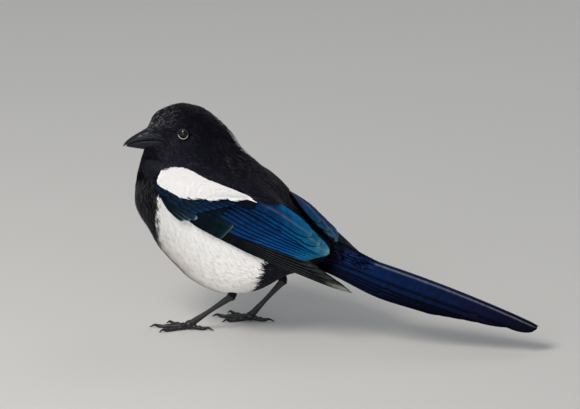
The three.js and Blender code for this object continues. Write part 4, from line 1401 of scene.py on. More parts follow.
@dataclass
class Wing:
    """A folded wing: the covered hand and arm, and its feathers in tiers."""

    form: WingForm
    vanes: Material
    seat: float = 1.3

    def feather(self, kind: Plumage, order: int, root: tuple[float, float],
                tip: tuple[float, float], width: float, belly: float, back: float,
                drop: float = 1.0, bow: float = 0.0, **shape: float) -> Vane:
        """A feather from its root to its tip on the wing's frame.

        Its way across leans from the height "back" to the height "belly", so that neighbours
        lie like shingles, and its root sinks by "drop".

        Args:
            kind: which feather.
            order: its number in its row.
            root, tip: distance along the axis and angle.
            width: half width in mm.
            belly, back: heights of the two edges.
            drop: how much deeper the root lies.
            bow: degrees by which the middle bends towards the belly.
            shape: further fields of the vane.

        Returns:
            The vane.
        """
        form = self.form

        def place(u: Array, across: Array, height: Array) -> Array:
            """Points of the feather from the share along it, the way across and the height."""
            s = lerp(root[0], tip[0], u)
            middle = lerp(root[1], tip[1], u) + bow * np.sin(math.pi * u)
            radius = form.tip_side + form.side_flare * (form.tip - s)
            degrees = middle + np.degrees(across / radius)
            rise = lerp(back, belly, 0.5 + across / (2 * width))
            return form.point(s, degrees, rise - drop * (1 - smooth(u, 0, 0.4)) + height)

        return Vane(kind, place, tip[0] - root[0], width, order, **shape)

    def feathers(self) -> list[Vane]:
        """All feathers of the wing, from the undermost row to the uppermost.

        Returns:
            The feathers; roots and tips are in mm along the axis and degrees round it.
        """
        make = self.feather
        made = [make(Plumage.PRIMARY, 9, (56, 95.5), (150, 88), 4, 2.9, 0.9, drop=0.4)]
        right = self.form.side is Side.RIGHT
        tips = [206.5, 203, 197, 187.5, 177, 168, 160, 153, 147]
        for k, tip in enumerate(tips):
            made.append(make(Plumage.PRIMARY, k, (56, 93.8 - 2.1 * k), (tip, 87 - 2.75 * k),
                             5.4 if right else 4.2, 3.8, 1.4, bow=2, tip_length=0.2,
                             taper=0.1 if right else 0.35, point=0.8, splits=1, rows=60))
        for k in range(4 if right else 0):
            made.append(make(Plumage.PRIMARY, 4, (84, 68 - 9 * k), (197 - 4 * k, 62 - 10 * k), 6,
                             3.4, 2.2, drop=0.4, tip_length=0.25, root_share=0.8, taper=0.1,
                             splits=1, rows=60))
        for k in range(6):
            made.append(make(Plumage.SECONDARY, k, (42 + 3.8 * k, 83 - 5.4 * k),
                             (159 + 2.2 * k, 63 - 3.7 * k), 5.4, 4.7, 1.7, drop=2.0, bow=3.5,
                             tip_length=0.08, shaft=0.35, splits=1, rows=54))
        for k in range(3):
            layer = 0.6 * k
            made.append(make(Plumage.TERTIAL, k, (54, 54 - 2 * k), (170 - 11 * k, 43 - 4 * k),
                             9 - 0.6 * k, 4.6 + layer, 2.9 + layer, drop=2.0, bow=-5,
                             root_share=0.5, full=0.6, shaft=0.1, rows=54, columns=19))
        for k in range(7):
            made.append(make(Plumage.PRIMARY_COVERT, k, (34, 93.5 - 2 * k),
                             (77.5 + 0.6 * k, 92.5 - 2.4 * k), 3.0, 4.9, 3.4, drop=2.2,
                             tip_length=0.12, root_share=0.8))
        for k in range(9):
            made.append(make(Plumage.GREATER_COVERT, k, (26 + 4.2 * k, 81 - 4.4 * k),
                             (46 + 4.6 * k, 82 - 4.9 * k), 4.6, 5.4, 3.6, drop=2.2,
                             tip_length=0.3, root_share=0.8, rows=26))
        made.append(make(Plumage.GREATER_COVERT, 9, (62, 51), (90, 45.5), 4.2, 6.6, 5.6, drop=1.0,
                         tip_length=0.35, root_share=0.8, rows=30))
        for k in range(3):
            made.append(make(Plumage.ALULA, k, (6, 88 - 2 * k), (38 + 5 * k, 97.5 - 4.5 * k), 3.6,
                             5.2 + 0.4 * k, 3.8 + 0.4 * k, drop=2.0, bow=2, tip_length=0.22))
        for row in range(3):
            for k in range(7 - row):
                s = 36 - 11 * row + 2.6 * k
                degrees = 87 - 2.5 * row - 5.2 * k
                if degrees < self.form.patch_lower(s - 10) - 5:
                    continue
                made.append(make(Plumage.LESSER_COVERT, k, (s - 16, degrees + 1), (s, degrees),
                                 4.4, 5.9 - 0.3 * row, 4.6 - 0.3 * row, drop=1.6,
                                 tip_length=0.4, root_share=0.8, rows=20))
        return made

    def core(self) -> Shape:
        """The covered hand and arm: a slab of the frame whose upper face swells in the middle.

        Returns:
            The closed slab.
        """
        u = np.linspace(0, 1, 40)[:, None]
        v = np.linspace(0, 1, 24)[None, :]
        s = lerp(-4, 68, u)
        degrees = lerp(self.form.covert_edge(s), self.form.lower_edge(s), v)
        ends = np.sqrt(np.sin(math.pi * lerp(0.04, 0.96, u)))
        rise = 0.5 + 2 * ends * np.sqrt(np.sin(math.pi * lerp(0.03, 0.97, v)))
        over = self.form.point(s, degrees, self.seat + rise)
        under = self.form.point(s, degrees, self.seat + 0 * rise)
        place = np.stack([s + 0 * v, degrees], axis=-1) / 100
        return tube(slab(over, under), linear("#0b151d"), slab(place, place))

    def build(self, rng: Draw) -> None:
        """Builds the wing's feathers and core as one piece.

        Args:
            rng: the seeded draw.
        """
        name = self.form.side.name.lower()
        paint = Painter(self.form.side)
        shapes = [self.core()] + [v.shape(rng, paint) for v in self.feathers()]
        add_piece(f"wing_feathers_{name}", joined(shapes), self.vanes,
                  [f"wing_{name}"])


@dataclass
class ShoulderPatch:
    """The white scapulars: a soft swelling of small feathers with long loose tips."""

    form: WingForm
    white: Material
    first: float = -3.0
    last: float = 78.0
    seat: float = 1.3
    swell: float = 2.4
    parting: float = 1.1
    locks: int = 12
    lock_size: int = 30

    def surface(self, u: Array, v: Array, grow: Array) -> Array:
        """A point of the patch: half waves along and across swell it, and a bell curve parts it
        behind its front lobe.

        Args:
            u, v: shares along and across it.
            grow: height over it, in mm.

        Returns:
            Points.
        """
        u, v, grow = np.broadcast_arrays(u, v, grow)
        s = lerp(self.first, self.last, u)
        a, b = self.form.patch_upper(s), self.form.patch_lower(s)
        degrees = lerp(a, b, v)
        floor = (self.seat + 3.2 * smooth(degrees - self.form.covert_edge(s), -9, -3)
                 + 1.9 * smooth(s, 12, 30) * smooth(degrees - b, -18, -9))
        ends = np.sqrt(np.sin(math.pi * np.clip(lerp(0.04, 0.96, u), 0.04, 0.96)))
        across = np.sqrt(np.sin(math.pi * np.clip(lerp(0.03, 0.97, v), 0.03, 0.97)))
        parting = np.exp(-(((s - 31 + 0.33 * (75 - degrees)) / 1.5) ** 2)) * smooth(degrees, 58, 68)
        rise = 0.5 + self.swell * ends * across - self.parting * parting
        return self.form.point(s, degrees, floor + rise + grow)

    def core(self) -> Shape:
        """A slab under the tufts, narrower where their loose tips hang over the wing.

        Returns:
            The closed slab.
        """
        u = np.linspace(0, 1, 48)[:, None]
        v = np.linspace(0, 1, 20)[None, :] * (1 - 0.12 * smooth(u, 0.42, 0.5))
        over = self.surface(u, v, 0 * u * v - 0.5)
        under = self.surface(u, v, 0 * u * v - 3.2)
        bake = np.stack(np.broadcast_arrays(u, v), axis=-1) * 0.97
        shape = tube(slab(over, under), linear("#e6e4df"))
        shape.bake = slab(bake, bake).reshape(-1, 2)
        return shape

    def build(self, rng: Draw) -> None:
        """Builds core and tufts.

        Args:
            rng: the seeded draw.
        """
        name = self.form.side.name.lower()
        add_piece(f"shoulder_core_{name}", self.core(), self.white,
                  [f"scapulars_{name}"])
        u, v = scatter(self.surface, lambda u, v: 3.4 + 0 * u, (0.0, 0.93, 0.04, 0.96), rng, 60)
        kept = (v < 0.84) | (u < 0.4)
        u, v = u[kept], v[kept]
        tips = self.loose_tips(rng)
        u, v = np.append(u, tips[0]), np.append(v, tips[1])
        n, loose = len(u), len(tips[0])
        length = np.interp(u, [0, 0.1, 0.3, 0.6, 1], [3.5, 5, 7, 9, 11]) * rng.uniform(0.8, 1.15, n)
        length[-loose:] *= np.repeat(rng.uniform(1.15, 1.8, self.locks), self.lock_size)
        width = rng.uniform(0.45, 0.7, n)
        tint = linear("#f4f3f1") * rng.uniform(0.95, 1.03, n)[:, None]
        veer = rng.normal(0.08, 0.1, n)
        veer[-loose:] = tips[2]
        bake = np.stack([u * 0.9 + 0.05, v * 0.9], axis=-1)
        tufts = Tufts(self.surface, 0.9, 0.2, 0.96, 0.1, 1.0)
        shape = tufts.shape(u, v, length, width, veer, tint, bake, rng)
        add_piece(f"shoulder_coat_{name}", shape, self.white)

    def loose_tips(self, rng: Draw) -> tuple[Array, Array, Array]:
        """Longer feathers in locks, which hang over the lower rear edge and lean together.

        Args:
            rng: the seeded draw.

        Returns:
            Shares along and across the patch, and the sideways turn of each feather.
        """
        size = (self.locks, self.lock_size)
        middle = np.linspace(0.36, 0.95, self.locks)[:, None]
        u = middle + rng.normal(0, 0.011, size)
        v = 0.84 + rng.uniform(-0.12, 0.04, size)
        inward = (u - middle) * -14
        veer = rng.uniform(0.32, 0.6, (self.locks, 1)) + inward + rng.normal(0, 0.02, size)
        return u.ravel(), v.ravel(), veer.ravel()


@dataclass
class Fringe:
    """Black feathers between body and wing: before and over the shoulder patch, and farther back
    over the roots of the innermost wing feathers."""

    form: WingForm
    down: Material

    def surface(self, s: Array, degrees: Array, grow: Array) -> Array:
        """A point of a skin that leaves the body and rises to the patch's edge or the wing.

        Args:
            s, degrees: distance along the wing's axis and angle round it.
            grow: height, in mm.

        Returns:
            Points.
        """
        s, degrees, grow = np.broadcast_arrays(s, degrees, grow)
        edge = self.form.patch_upper(s)
        front = smooth(degrees, edge - 26, edge - 2) * smooth(s, -30, -4)
        front = front * (1 - smooth(degrees, 60, 84))
        rear = smooth(degrees, 8, 30) * smooth(s, 50, 80)
        top = 2.4 + 2.9 * smooth(s, 56, 80)
        sunk = np.maximum(-self.form.over_body(s, degrees), -30) - 0.6
        return self.form.point(s, degrees, lerp(sunk, top, np.maximum(front, rear)) + grow)

    def build(self, rng: Draw) -> None:
        """Builds the feathers, short ones before the patch and long ones at the rear.

        Args:
            rng: the seeded draw.
        """

        def density(s: Array, degrees: Array) -> Array:
            """Feathers for each square millimetre, none on the patch or past the black's edge."""
            edge = lerp(35, 38, smooth(s, 60, 85)) - 26 * smooth(s, 92, 106)
            edge = np.where(s < 60, self.form.patch_upper(s), edge)
            before = (s < -9) & (degrees > 50)
            near = (degrees > self.form.patch_upper(s) - 28) & (s > -14) | (s > 56)
            return 1.9 * ((degrees < edge) & near | before)

        s, degrees = scatter(self.surface, density, (-24, 106, -6, 84), rng, 90)
        n = len(s)
        tint = linear("#090a10") * rng.uniform(0.6, 1.6, n)[:, None]
        streak = rng.random(n) < 0.06
        tint[streak] += linear("#26262b")
        bake = np.stack([(s + 25) / 140, (degrees + 8) / 100], axis=-1)
        length = np.interp(s, (-24, 0, 40, 80), (5.5, 6, 8, 11)) * rng.uniform(0.8, 1.15, n)
        tufts = Tufts(self.surface, 1.6, 0.5, 0.5)
        shape = tufts.shape(s, degrees, length, rng.uniform(0.45, 0.75, n),
                            rng.normal(0, 0.12, n), tint, bake, rng)
        add_piece(f"fringe_{self.form.side.name.lower()}", shape, self.down)


@dataclass
class Tail:
    """Six pairs of tail feathers in an arch, and the coverts round their root."""

    form: TailForm
    vanes: Material
    down: Material
    lengths: tuple = (206.7, 189, 172, 157, 145, 134)
    centres: tuple = (2.6, 7.5, 9.5, 11.5, 13, 14.5)
    half_width: float = 12.2
    taper: float = 0.24
    layer: float = 0.62

    def feather(self, pair: int, side: Side) -> Vane:
        """One tail feather of a pair, on its own layer under the arch.

        Args:
            pair: 0 for the middle pair.
            side: which of the two.

        Returns:
            The vane.
        """
        layer = pair * 2 + (0 if side is Side.LEFT else 1)
        centre = self.centres[pair]

        def place(u: Array, across: Array, height: Array) -> Array:
            """Points of the feather; an outer one's inner half stops short of the ridge."""
            s = lerp(-9, self.lengths[pair], u)
            middle = centre * lerp(0.6, 1, smooth(s, -10, 70))
            inner = 1.0 if pair == 0 else np.minimum(1, (middle - 0.5) / self.half_width)
            q = float(side) * (middle + np.where(across < 0, across * inner, across))
            return self.form.point(s, q, height - self.layer * layer)

        return Vane(Plumage.TAIL, place, self.lengths[pair] + 9, self.half_width, pair,
                    shaft=0.0 if pair == 0 else 0.4, root_share=0.8,
                    tip_length=0.1 if pair == 0 else 0.2, taper=self.taper,
                    point=0.5 if pair == 0 else 0.8, splits=1, rows=80,
                    columns=35 if pair == 0 else 21)

    def root(self) -> Shape:
        """The coverts' core round the root, which tapers off over and under the feathers.

        Returns:
            The closed core.
        """
        u = np.linspace(0, 1, 24)[:, None]
        angle = ring_angles(28, math.pi / 2)
        fade = np.sqrt(1 - 0.96 * u * u)
        up = np.cos(angle)
        reach = np.where(up > 0, lerp(7.4, 1.6, u), lerp(16, 4.8, u)) * fade
        height = up * reach - np.where(up > 0, 0, 2)
        wide = np.sin(angle) * lerp(11.3, 8.8, u)
        rings = self.form.point(lerp(-6, 42, u) + 0 * angle, wide, height)
        place = np.stack([np.broadcast_to(u, height.shape) * 0.4, height * 0.01], axis=-1)
        return tube(rings, linear("#06080d"), place)

    def cover(self, u: Array, angle: Array, grow: Array) -> Array:
        """A point over the core: half ellipses above and below, which narrow with distance.

        Args:
            u: share along the coverts.
            angle: angle round them.
            grow: height over them, in mm.

        Returns:
            Points.
        """
        u, angle, grow = np.broadcast_arrays(u, angle, grow)
        fade = np.sqrt(np.maximum(0.04, 1 - 0.96 * np.clip(u, 0, 1) ** 2))
        up = np.cos(angle)
        reach = np.where(up > 0, lerp(8, 2.4, u), lerp(17, 5, u)) * fade
        height = up * (reach + grow) - 2 * smooth(-up, -0.1, 0.1)
        return self.form.point(lerp(-6, 42, u), np.sin(angle) * (lerp(11.5, 9, u) + grow), height)

    def build(self, rng: Draw) -> None:
        """Builds the feathers with their root as one piece, and the coverts as another.

        Args:
            rng: the seeded draw.
        """
        paint = Painter()
        shapes = [self.root()]
        for pair in range(6):
            shapes += [self.feather(pair, side).shape(rng, paint) for side in Side]
        add_piece("tail_feathers", joined(shapes), self.vanes, ["tail"])
        u, angle = scatter(self.cover, lambda u, a: 1.2 + 0 * u, (-0.14, 0.8, 0, 2 * math.pi),
                           rng, 50)
        n = len(u)
        tint = lerp(linear("#08090e"), linear("#102c60"), shade(u, 0.0, 0.5))
        tint = tint * rng.uniform(0.7, 1.5, n)[:, None]
        tufts = Tufts(self.cover, 0.8, 0.2, 0.7)
        bake = np.stack([u + 0.2, angle / 7], axis=-1)
        shape = tufts.shape(u, angle, rng.uniform(9, 17, n), rng.uniform(0.7, 1.0, n),
                            rng.normal(0, 0.08, n), tint, bake, rng)
        add_piece("tail_coverts", shape, self.down)


@dataclass
class Bill:
    """Upper and lower bill. Rows are x, top, bottom and half width, from the tip back."""

    form: BodyForm
    horn: Material
    upper: tuple = ((-198.6, 174.6, 173.7, 0.5), (-196.8, 177.8, 175.4, 1.4),
                    (-193, 181.4, 177.1, 2.7), (-188, 184.9, 179.4, 4), (-181, 189.1, 181.2, 5.4),
                    (-173, 192.6, 182.1, 6.6), (-164, 194, 182, 7.4), (-156, 192.5, 180, 7.2))
    lower: tuple = ((-195.8, 175.2, 174.3, 0.6), (-192, 177.1, 173.4, 1.9),
                    (-186, 179.5, 172.4, 3.3), (-179, 181, 171.4, 4.6), (-171, 181.7, 170.4, 5.8),
                    (-162, 181.4, 170.2, 6.7), (-155, 178.9, 170.8, 6.6))
    flat: float = 0.25

    def at(self, row: Array, arched: int, angle: Array, grow: Array) -> Array:
        """Points round the bill at a row, angle 0 at the top.

        The side away from the mouth is an arch and the side at the mouth is nearly flat, its
        height being the cosine to a small power.

        Args:
            row: x, top, bottom and half width in the last axis.
            arched: 1 for the upper bill, -1 for the lower.
            angle: angle round the bill.
            grow: how far outside.

        Returns:
            Points of the turned head.
        """
        x, top, bottom, half = (row[..., k] for k in range(4))
        up, out = np.cos(angle), np.sin(angle)
        flat = (up * arched < 0) & (np.abs(up) > 0.01)
        height = np.where(flat, np.sign(up) * np.abs(up) ** self.flat, up)
        waist = 0.5 - 0.22 * arched
        reach = (top - bottom) * np.where(height > 0, 1 - waist, waist)
        z = lerp(bottom, top, waist) + height * reach + up * grow
        x, y, z = np.broadcast_arrays(x, out * (half + grow), z)
        return self.form.turn(np.stack([x, y, z], axis=-1))

    def half_bill(self, rows: tuple, arched: int) -> Shape:
        """One half of the bill as a closed horn sheath, with its culmen raised a little.

        Args:
            rows: the half's table.
            arched: 1 for the upper bill, -1 for the lower.

        Returns:
            The closed sheath.
        """
        w = np.linspace(0, 1, 60)[:, None]
        row = spline(np.array(rows, float), w)
        angle = ring_angles(48, math.pi / 2)
        culmen = 0.25 * np.exp(-((np.sin(angle) / 0.2) ** 2)) * (np.cos(angle) * arched > 0)
        p = self.at(row, arched, angle, culmen)
        place = np.stack([np.broadcast_to(row[..., 0], p.shape[:2]),
                          np.broadcast_to(angle * 6, p.shape[:2])], axis=-1) / 100
        return tube(p, place=place)

    def nostril(self, p: Array) -> Array:
        """Points of the upper bill pressed in round both nostrils.

        Args:
            p: points of the sheath.

        Returns:
            The same points, with a bell-shaped dent at each nostril.
        """
        for side in Side:
            at = self.form.turn(np.array([-182.5, side * 4.8, 186.6]))
            gap = (p - at) / np.array([2.4, 2.0, 1.1])
            near = np.exp(-np.sum(gap * gap, axis=-1))[..., None]
            p = p + near * np.array([0.0, -0.5 * side, 0.0])
        return p

    def build(self) -> None:
        """Builds both halves."""
        top = self.half_bill(self.upper, 1)
        top.points = self.nostril(top.points)
        add_piece("bill_sheath_upper", top, self.horn, ["bill_upper"])
        add_piece("bill_sheath_lower", self.half_bill(self.lower, -1), self.horn,
                  ["bill_lower"])


@dataclass
class Bristles:
    """Stiff hair-like feathers that lie forwards over the base of the bill."""

    bill: Bill
    black: Material
    root_x: float = -160.0
    count: int = 800

    def build(self, rng: Draw) -> None:
        """Blades along the upper bill, longest at its top, and shorter ones on the lower.

        Args:
            rng: the seeded draw.
        """
        for name, rows, arched, reach, many in (("upper", self.bill.upper, 1, 13, self.count),
                                                ("lower", self.bill.lower, -1, 8, 260)):
            table = np.array(rows, float)

            def surface(t: Array, a: Array, grow: Array) -> Array:
                """Points from the distance forwards of the root line, the angle and the height."""
                x = self.root_x - t
                row = np.stack([np.interp(x, table[:, 0], table[:, k]) for k in range(4)], axis=-1)
                row[..., 0] = x
                return self.bill.at(row, arched, a, grow)

            a = rng.uniform(-1.6, 1.6, many) + (math.pi if arched < 0 else 0)
            middle = 1 - np.abs(np.sin(a)) ** 2
            length = (reach * (0.55 + 0.45 * middle)) * rng.uniform(0.5, 1.0, many)
            start = rng.uniform(-2, 10, many) if arched > 0 else rng.uniform(-5, 4, many)
            tint = linear("#303238") * (rng.random(many) ** 2 * 3.2)[:, None]
            bake = np.stack([start / 20 + 0.3, (a % (2 * math.pi)) / 7], axis=-1)
            tufts = Tufts(surface, 0.3, 1.1, 0.2, 0.6)
            shape = tufts.shape(start, a, length, rng.uniform(0.22, 0.4, many),
                                rng.normal(0, 0.05, many), tint, bake, rng)
            add_piece(f"bristles_{name}", shape, self.black)


@dataclass
class Eyes:
    """Eyeballs and their lids."""

    form: BodyForm
    cornea: Material
    lid: Material
    radius: float = 6.0

    @staticmethod
    def centre(form: BodyForm, side: Side) -> Array:
        """An eyeball's centre."""
        return form.turn(np.array([-141.6, side * 11.3, 190.8]))

    @staticmethod
    def facing(form: BodyForm, side: Side) -> Array:
        """The direction that an eye looks in.

        Args:
            form: the body.
            side: which eye.

        Returns:
            A unit vector, turned with the head.
        """
        rest = unit(np.array([-0.3, float(side), 0.06]))
        c, s = math.cos(form.head_turn), math.sin(form.head_turn)
        return np.array([rest[0] * c - rest[1] * s, rest[0] * s + rest[1] * c, rest[2]])

    def axes(self, side: Side) -> tuple[Array, Array, Array]:
        """The eye's own axes.

        Args:
            side: which eye.

        Returns:
            The ways out of the head, up and aside.
        """
        out = self.facing(self.form, side)
        up = unit(np.array([0.0, 0.0, 1.0]) - out * out[2])
        return out, up, np.cross(out, up)

    def ball(self, side: Side) -> Shape:
        """A sphere with a cornea that bulges a little, its rings round the way it faces.

        Args:
            side: which eye.

        Returns:
            The closed ball.
        """
        out, up, aside = self.axes(side)
        polar = np.linspace(0.02, math.pi - 0.02, 40)[:, None]
        a = ring_angles(40)
        r = self.radius + 0.25 * np.exp(-((polar / 0.5) ** 2))
        p = (self.centre(self.form, side) + (r * np.cos(polar))[..., None] * out
             + (r * np.sin(polar) * np.cos(a))[..., None] * up
             + (r * np.sin(polar) * np.sin(a))[..., None] * aside)
        iris = (smooth(polar, 0.3, 0.36) * (1 - smooth(polar, 0.72, 0.8)))[..., None]
        tint = lerp(linear("#020203"), linear("#0c0604"), iris)
        return tube(p, lerp(tint, linear("#050404"), shade(polar, 0.78, 0.95)))

    def lids(self, side: Side) -> Shape:
        """A ring of bare skin with small beads, opened a little wider than high.

        Args:
            side: which eye.

        Returns:
            The closed ring.
        """
        out, up, aside = self.axes(side)
        around, section = 96, 12
        a = (2 * math.pi * np.arange(around + 1) / around)[:, None]
        b = ring_angles(section)
        thick = 0.62 + 0.1 * np.cos(a * 24) * smooth(np.cos(b), -0.3, 0.8)
        ring = 4.9 + thick * np.cos(b)
        height = 3.9 + thick * np.sin(b) * 0.9
        p = (self.centre(self.form, side) + height[..., None] * out
             + (ring * np.cos(a) * 0.94)[..., None] * up + (ring * np.sin(a))[..., None] * aside)
        low = (smooth(-np.cos(a), -0.1, 0.6) * smooth(-np.cos(b), -0.2, 0.6))[..., None]
        tint = lerp(linear("#0c0c0e"), linear("#dcd7cc"), low)
        number = np.arange(around * section).reshape(around, section)
        quads = np.stack([number, np.roll(number, -1, 1), np.roll(np.roll(number, -1, 1), -1, 0),
                          np.roll(number, -1, 0)], axis=-1).reshape(-1, 4)
        if side is Side.LEFT:
            quads = quads[:, ::-1]
        return Shape(p[:-1].reshape(-1, 3), [quads], tint[:-1].reshape(-1, 3))

    def build(self) -> None:
        """Builds both eyes with their lids."""
        for side in Side:
            name = side.name.lower()
            add_piece(f"eyeball_{name}", self.ball(side), self.cornea, [f"eye_{name}"])
            add_piece(f"lids_{name}", self.lids(side), self.lid)


@dataclass
class Leg:
    """Feathered thigh, scaly shank, toes and claws of one side.

    Toes are name, direction in degrees, length, radius and the claw's length.
    """

    side: Side
    knee: tuple
    hock: tuple
    ball: tuple
    heading: float
    thigh_radius: float
    scales: Material
    horn: Material
    black: Material
    toes: tuple = (("inner", -27, 21, 2.3, 8), ("middle", 3, 30, 2.4, 9.5),
                   ("outer", 31, 24, 2.2, 8), ("hind", 178, 15, 2.5, 11))
    coat_colour: str = "#0b0c12"

    @staticmethod
    def limb(path: Array, deep: Array, wide: Array, around: int = 24,
             relief: Callable[[Array, Array], Array] | None = None) -> Shape:
        """A limb along a path, an ellipse across it at each point, with relief added outwards.

        Args:
            path: points, shape (n, 3).
            deep: half sizes in the path's upright plane.
            wide: half sizes sideways.
            around: points round the limb.
            relief: extra height from the share along the limb and the angle round it.

        Returns:
            The closed limb.
        """
        along = unit(np.gradient(path, axis=0))
        side = unit(np.array([0.0, 1.0, 0.0]) - along * along[:, 1:2])
        front = np.cross(along, side)
        a = ring_angles(around)
        w = np.linspace(0, 1, len(path))[:, None]
        more = relief(w, a) if relief else 0 * w * a
        p = (path[:, None] + ((deep[:, None] + more) * np.cos(a))[..., None] * front[:, None]
             + ((wide[:, None] + more) * np.sin(a))[..., None] * side[:, None])
        run = np.cumsum(np.r_[0, np.linalg.norm(np.diff(path, axis=0), axis=1)])
        place = np.stack(np.broadcast_arrays(run[:, None], a * 3), axis=-1) / 100
        return tube(p, place=place)

    def direction(self, angle: float) -> Array:
        """A toe's direction on the floor from its angle, positive outwards."""
        a = math.radians(self.heading - self.side * angle)
        return np.array([math.cos(a), math.sin(a), 0.0])

    def shank(self) -> Shape:
        """The shank, with the hock's knob and a row of plates down its front.

        Returns:
            The closed shank.
        """
        w = np.linspace(-0.04, 1, 110)
        path = lerp(np.array(self.hock, float), np.array(self.ball, float), w[:, None])
        waist = 1 + 0.18 * np.cos(2 * math.pi * np.clip(w, 0, 1))
        knob = 1.1 * np.exp(-((w / 0.07) ** 2))
        end = np.sqrt(np.clip((w + 0.045) / 0.05, 0.05, 1))

        def plates(w: Array, a: Array) -> Array:
            """Plates 5 mm long that overlap downwards, on the front half."""
            return 0.22 * ((w * 10.5) % 1.0) ** 2 * smooth(-np.cos(a), -0.2, 0.5)

        return self.limb(path, (2.7 * waist + knob) * end, (2.1 * waist + knob) * end, 28, plates)

    def toe(self, angle: float, length: float, radius: float) -> Shape:
        """A toe along the floor with pads below and plates above.

        Args:
            angle: its direction in degrees.
            length, radius: sizes in mm.

        Returns:
            The closed toe.
        """
        w = np.linspace(0, 1, 80)
        r = lerp(radius, 1.7, w) * (1 + 0.1 * np.cos(w * 6 * math.pi))
        path = np.array(self.ball, float) * [1, 1, 0] + w[:, None] * length * self.direction(angle)
        path[:, 2] = r * 0.86 + 1.6 * (1 - w) ** 2
        end = np.sqrt(np.clip((1.0 - w) / 0.04, 0.06, 1))

        def plates(w: Array, a: Array) -> Array:
            """Plates 2 mm long on the toe's upper half."""
            return 0.14 * ((w * length / 2) % 1.0) ** 2 * smooth(np.cos(a), -0.1, 0.5)

        shape = self.limb(path, r * end, r * end, 20, plates)
        shape.points[:, 2] = np.maximum(shape.points[:, 2], 0.0)
        return shape

    def claw(self, angle: float, length: float, claw: float) -> Shape:
        """A claw: a cone that rises, then curves down to its tip.

        Args:
            angle: the toe's direction in degrees.
            length, claw: lengths of toe and claw in mm.

        Returns:
            The closed claw.
        """
        w = np.linspace(0, 1, 30)
        along = length - 0.8 + claw * (w - 0.12 * w * w)
        path = np.array(self.ball, float) * [1, 1, 0] + along[:, None] * self.direction(angle)
        path[:, 2] = 1.6 + 1.1 * np.sin(math.pi * np.minimum(1, w * 1.3)) - 1.1 * w * w
        r = lerp(1.4, 0.18, w**1.2)
        return self.limb(path, r * 1.1, r * 0.8, 14)

    def pad(self) -> Shape:
        """The ball of the foot, a flattened sphere on the floor.

        Returns:
            The closed pad.
        """
        polar = np.linspace(0.05, math.pi - 0.05, 30)[:, None]
        a = ring_angles(30)
        p = np.stack(np.broadcast_arrays(4.4 * np.sin(polar) * np.cos(a),
                                         4.4 * np.sin(polar) * np.sin(a),
                                         4.3 * np.cos(polar)), axis=-1) + np.array(self.ball)
        p[..., 2] = np.maximum(p[..., 2], 0)
        place = np.stack(np.broadcast_arrays(polar * 4, a * 4), axis=-1) / 100
        return tube(p, place=place)

    def thigh_surface(self, t: Array, a: Array, grow: Array) -> Array:
        """A point of the feathered thigh, a cone from the knee to the hock.

        Args:
            t, a: share along the thigh and angle round it.
            grow: height over it, in mm.

        Returns:
            Points.
        """
        t, a, grow = np.broadcast_arrays(t, a, grow)
        middle = lerp(np.array(self.knee, float), np.array(self.hock, float), t[..., None])
        r = lerp(self.thigh_radius, 3.4, np.clip(t, 0, 1.2) ** 0.75) + grow
        along = unit(np.array(self.hock, float) - np.array(self.knee, float))
        wide = unit(np.array([0.0, 1.0, 0.0]) - along * along[1])
        deep = np.cross(along, wide)
        return middle + (r * np.cos(a))[..., None] * deep + (0.9 * r * np.sin(a))[..., None] * wide

    def build(self, rng: Draw) -> None:
        """Builds the thigh's skin and coat, the shank, the foot and the claws.

        Args:
            rng: the seeded draw.
        """
        name = self.side.name.lower()
        t = np.linspace(0.1, 0.99, 30)[:, None]
        a = ring_angles(32)
        rings = self.thigh_surface(t, a, -1.2 + 0 * t * a)
        add_piece(f"thigh_skin_{name}", tube(rings, linear(self.coat_colour)), self.black,
                  [f"thigh_{name}"])
        t, a = scatter(self.thigh_surface, lambda t, a: 1.3 + 0 * t, (0.2, 0.93, 0, 2 * math.pi),
                       rng, 40)
        n = len(t)
        tint = linear(self.coat_colour) * rng.uniform(0.7, 1.8, n)[:, None]
        shape = Tufts(self.thigh_surface, 1.2, 0.5, 0.4).shape(
            t, a, rng.uniform(4, 7, n), rng.uniform(0.35, 0.5, n), rng.normal(0, 0.15, n), tint,
            np.stack([t, a / 7], axis=-1), rng)
        add_piece(f"thigh_coat_{name}", shape, self.black)
        add_piece(f"shank_scales_{name}", self.shank(), self.scales,
                  [f"shank_{name}"])
        toes = [self.toe(angle, length, radius) for _, angle, length, radius, _ in self.toes]
        add_piece(f"foot_scales_{name}", joined([self.pad()] + toes), self.scales,
                  [f"foot_{name}"])
        for toe, angle, length, _, claw in self.toes:
            add_piece(f"claw_horn_{name}_{toe}", self.claw(angle, length, claw), self.horn,
                      [f"claw_{name}_{toe}"])


@dataclass(frozen=True)
class Lamp:
    """A square area light, in metres and watts."""

    name: str
    place: tuple
    size: float
    power: float
    colour: str


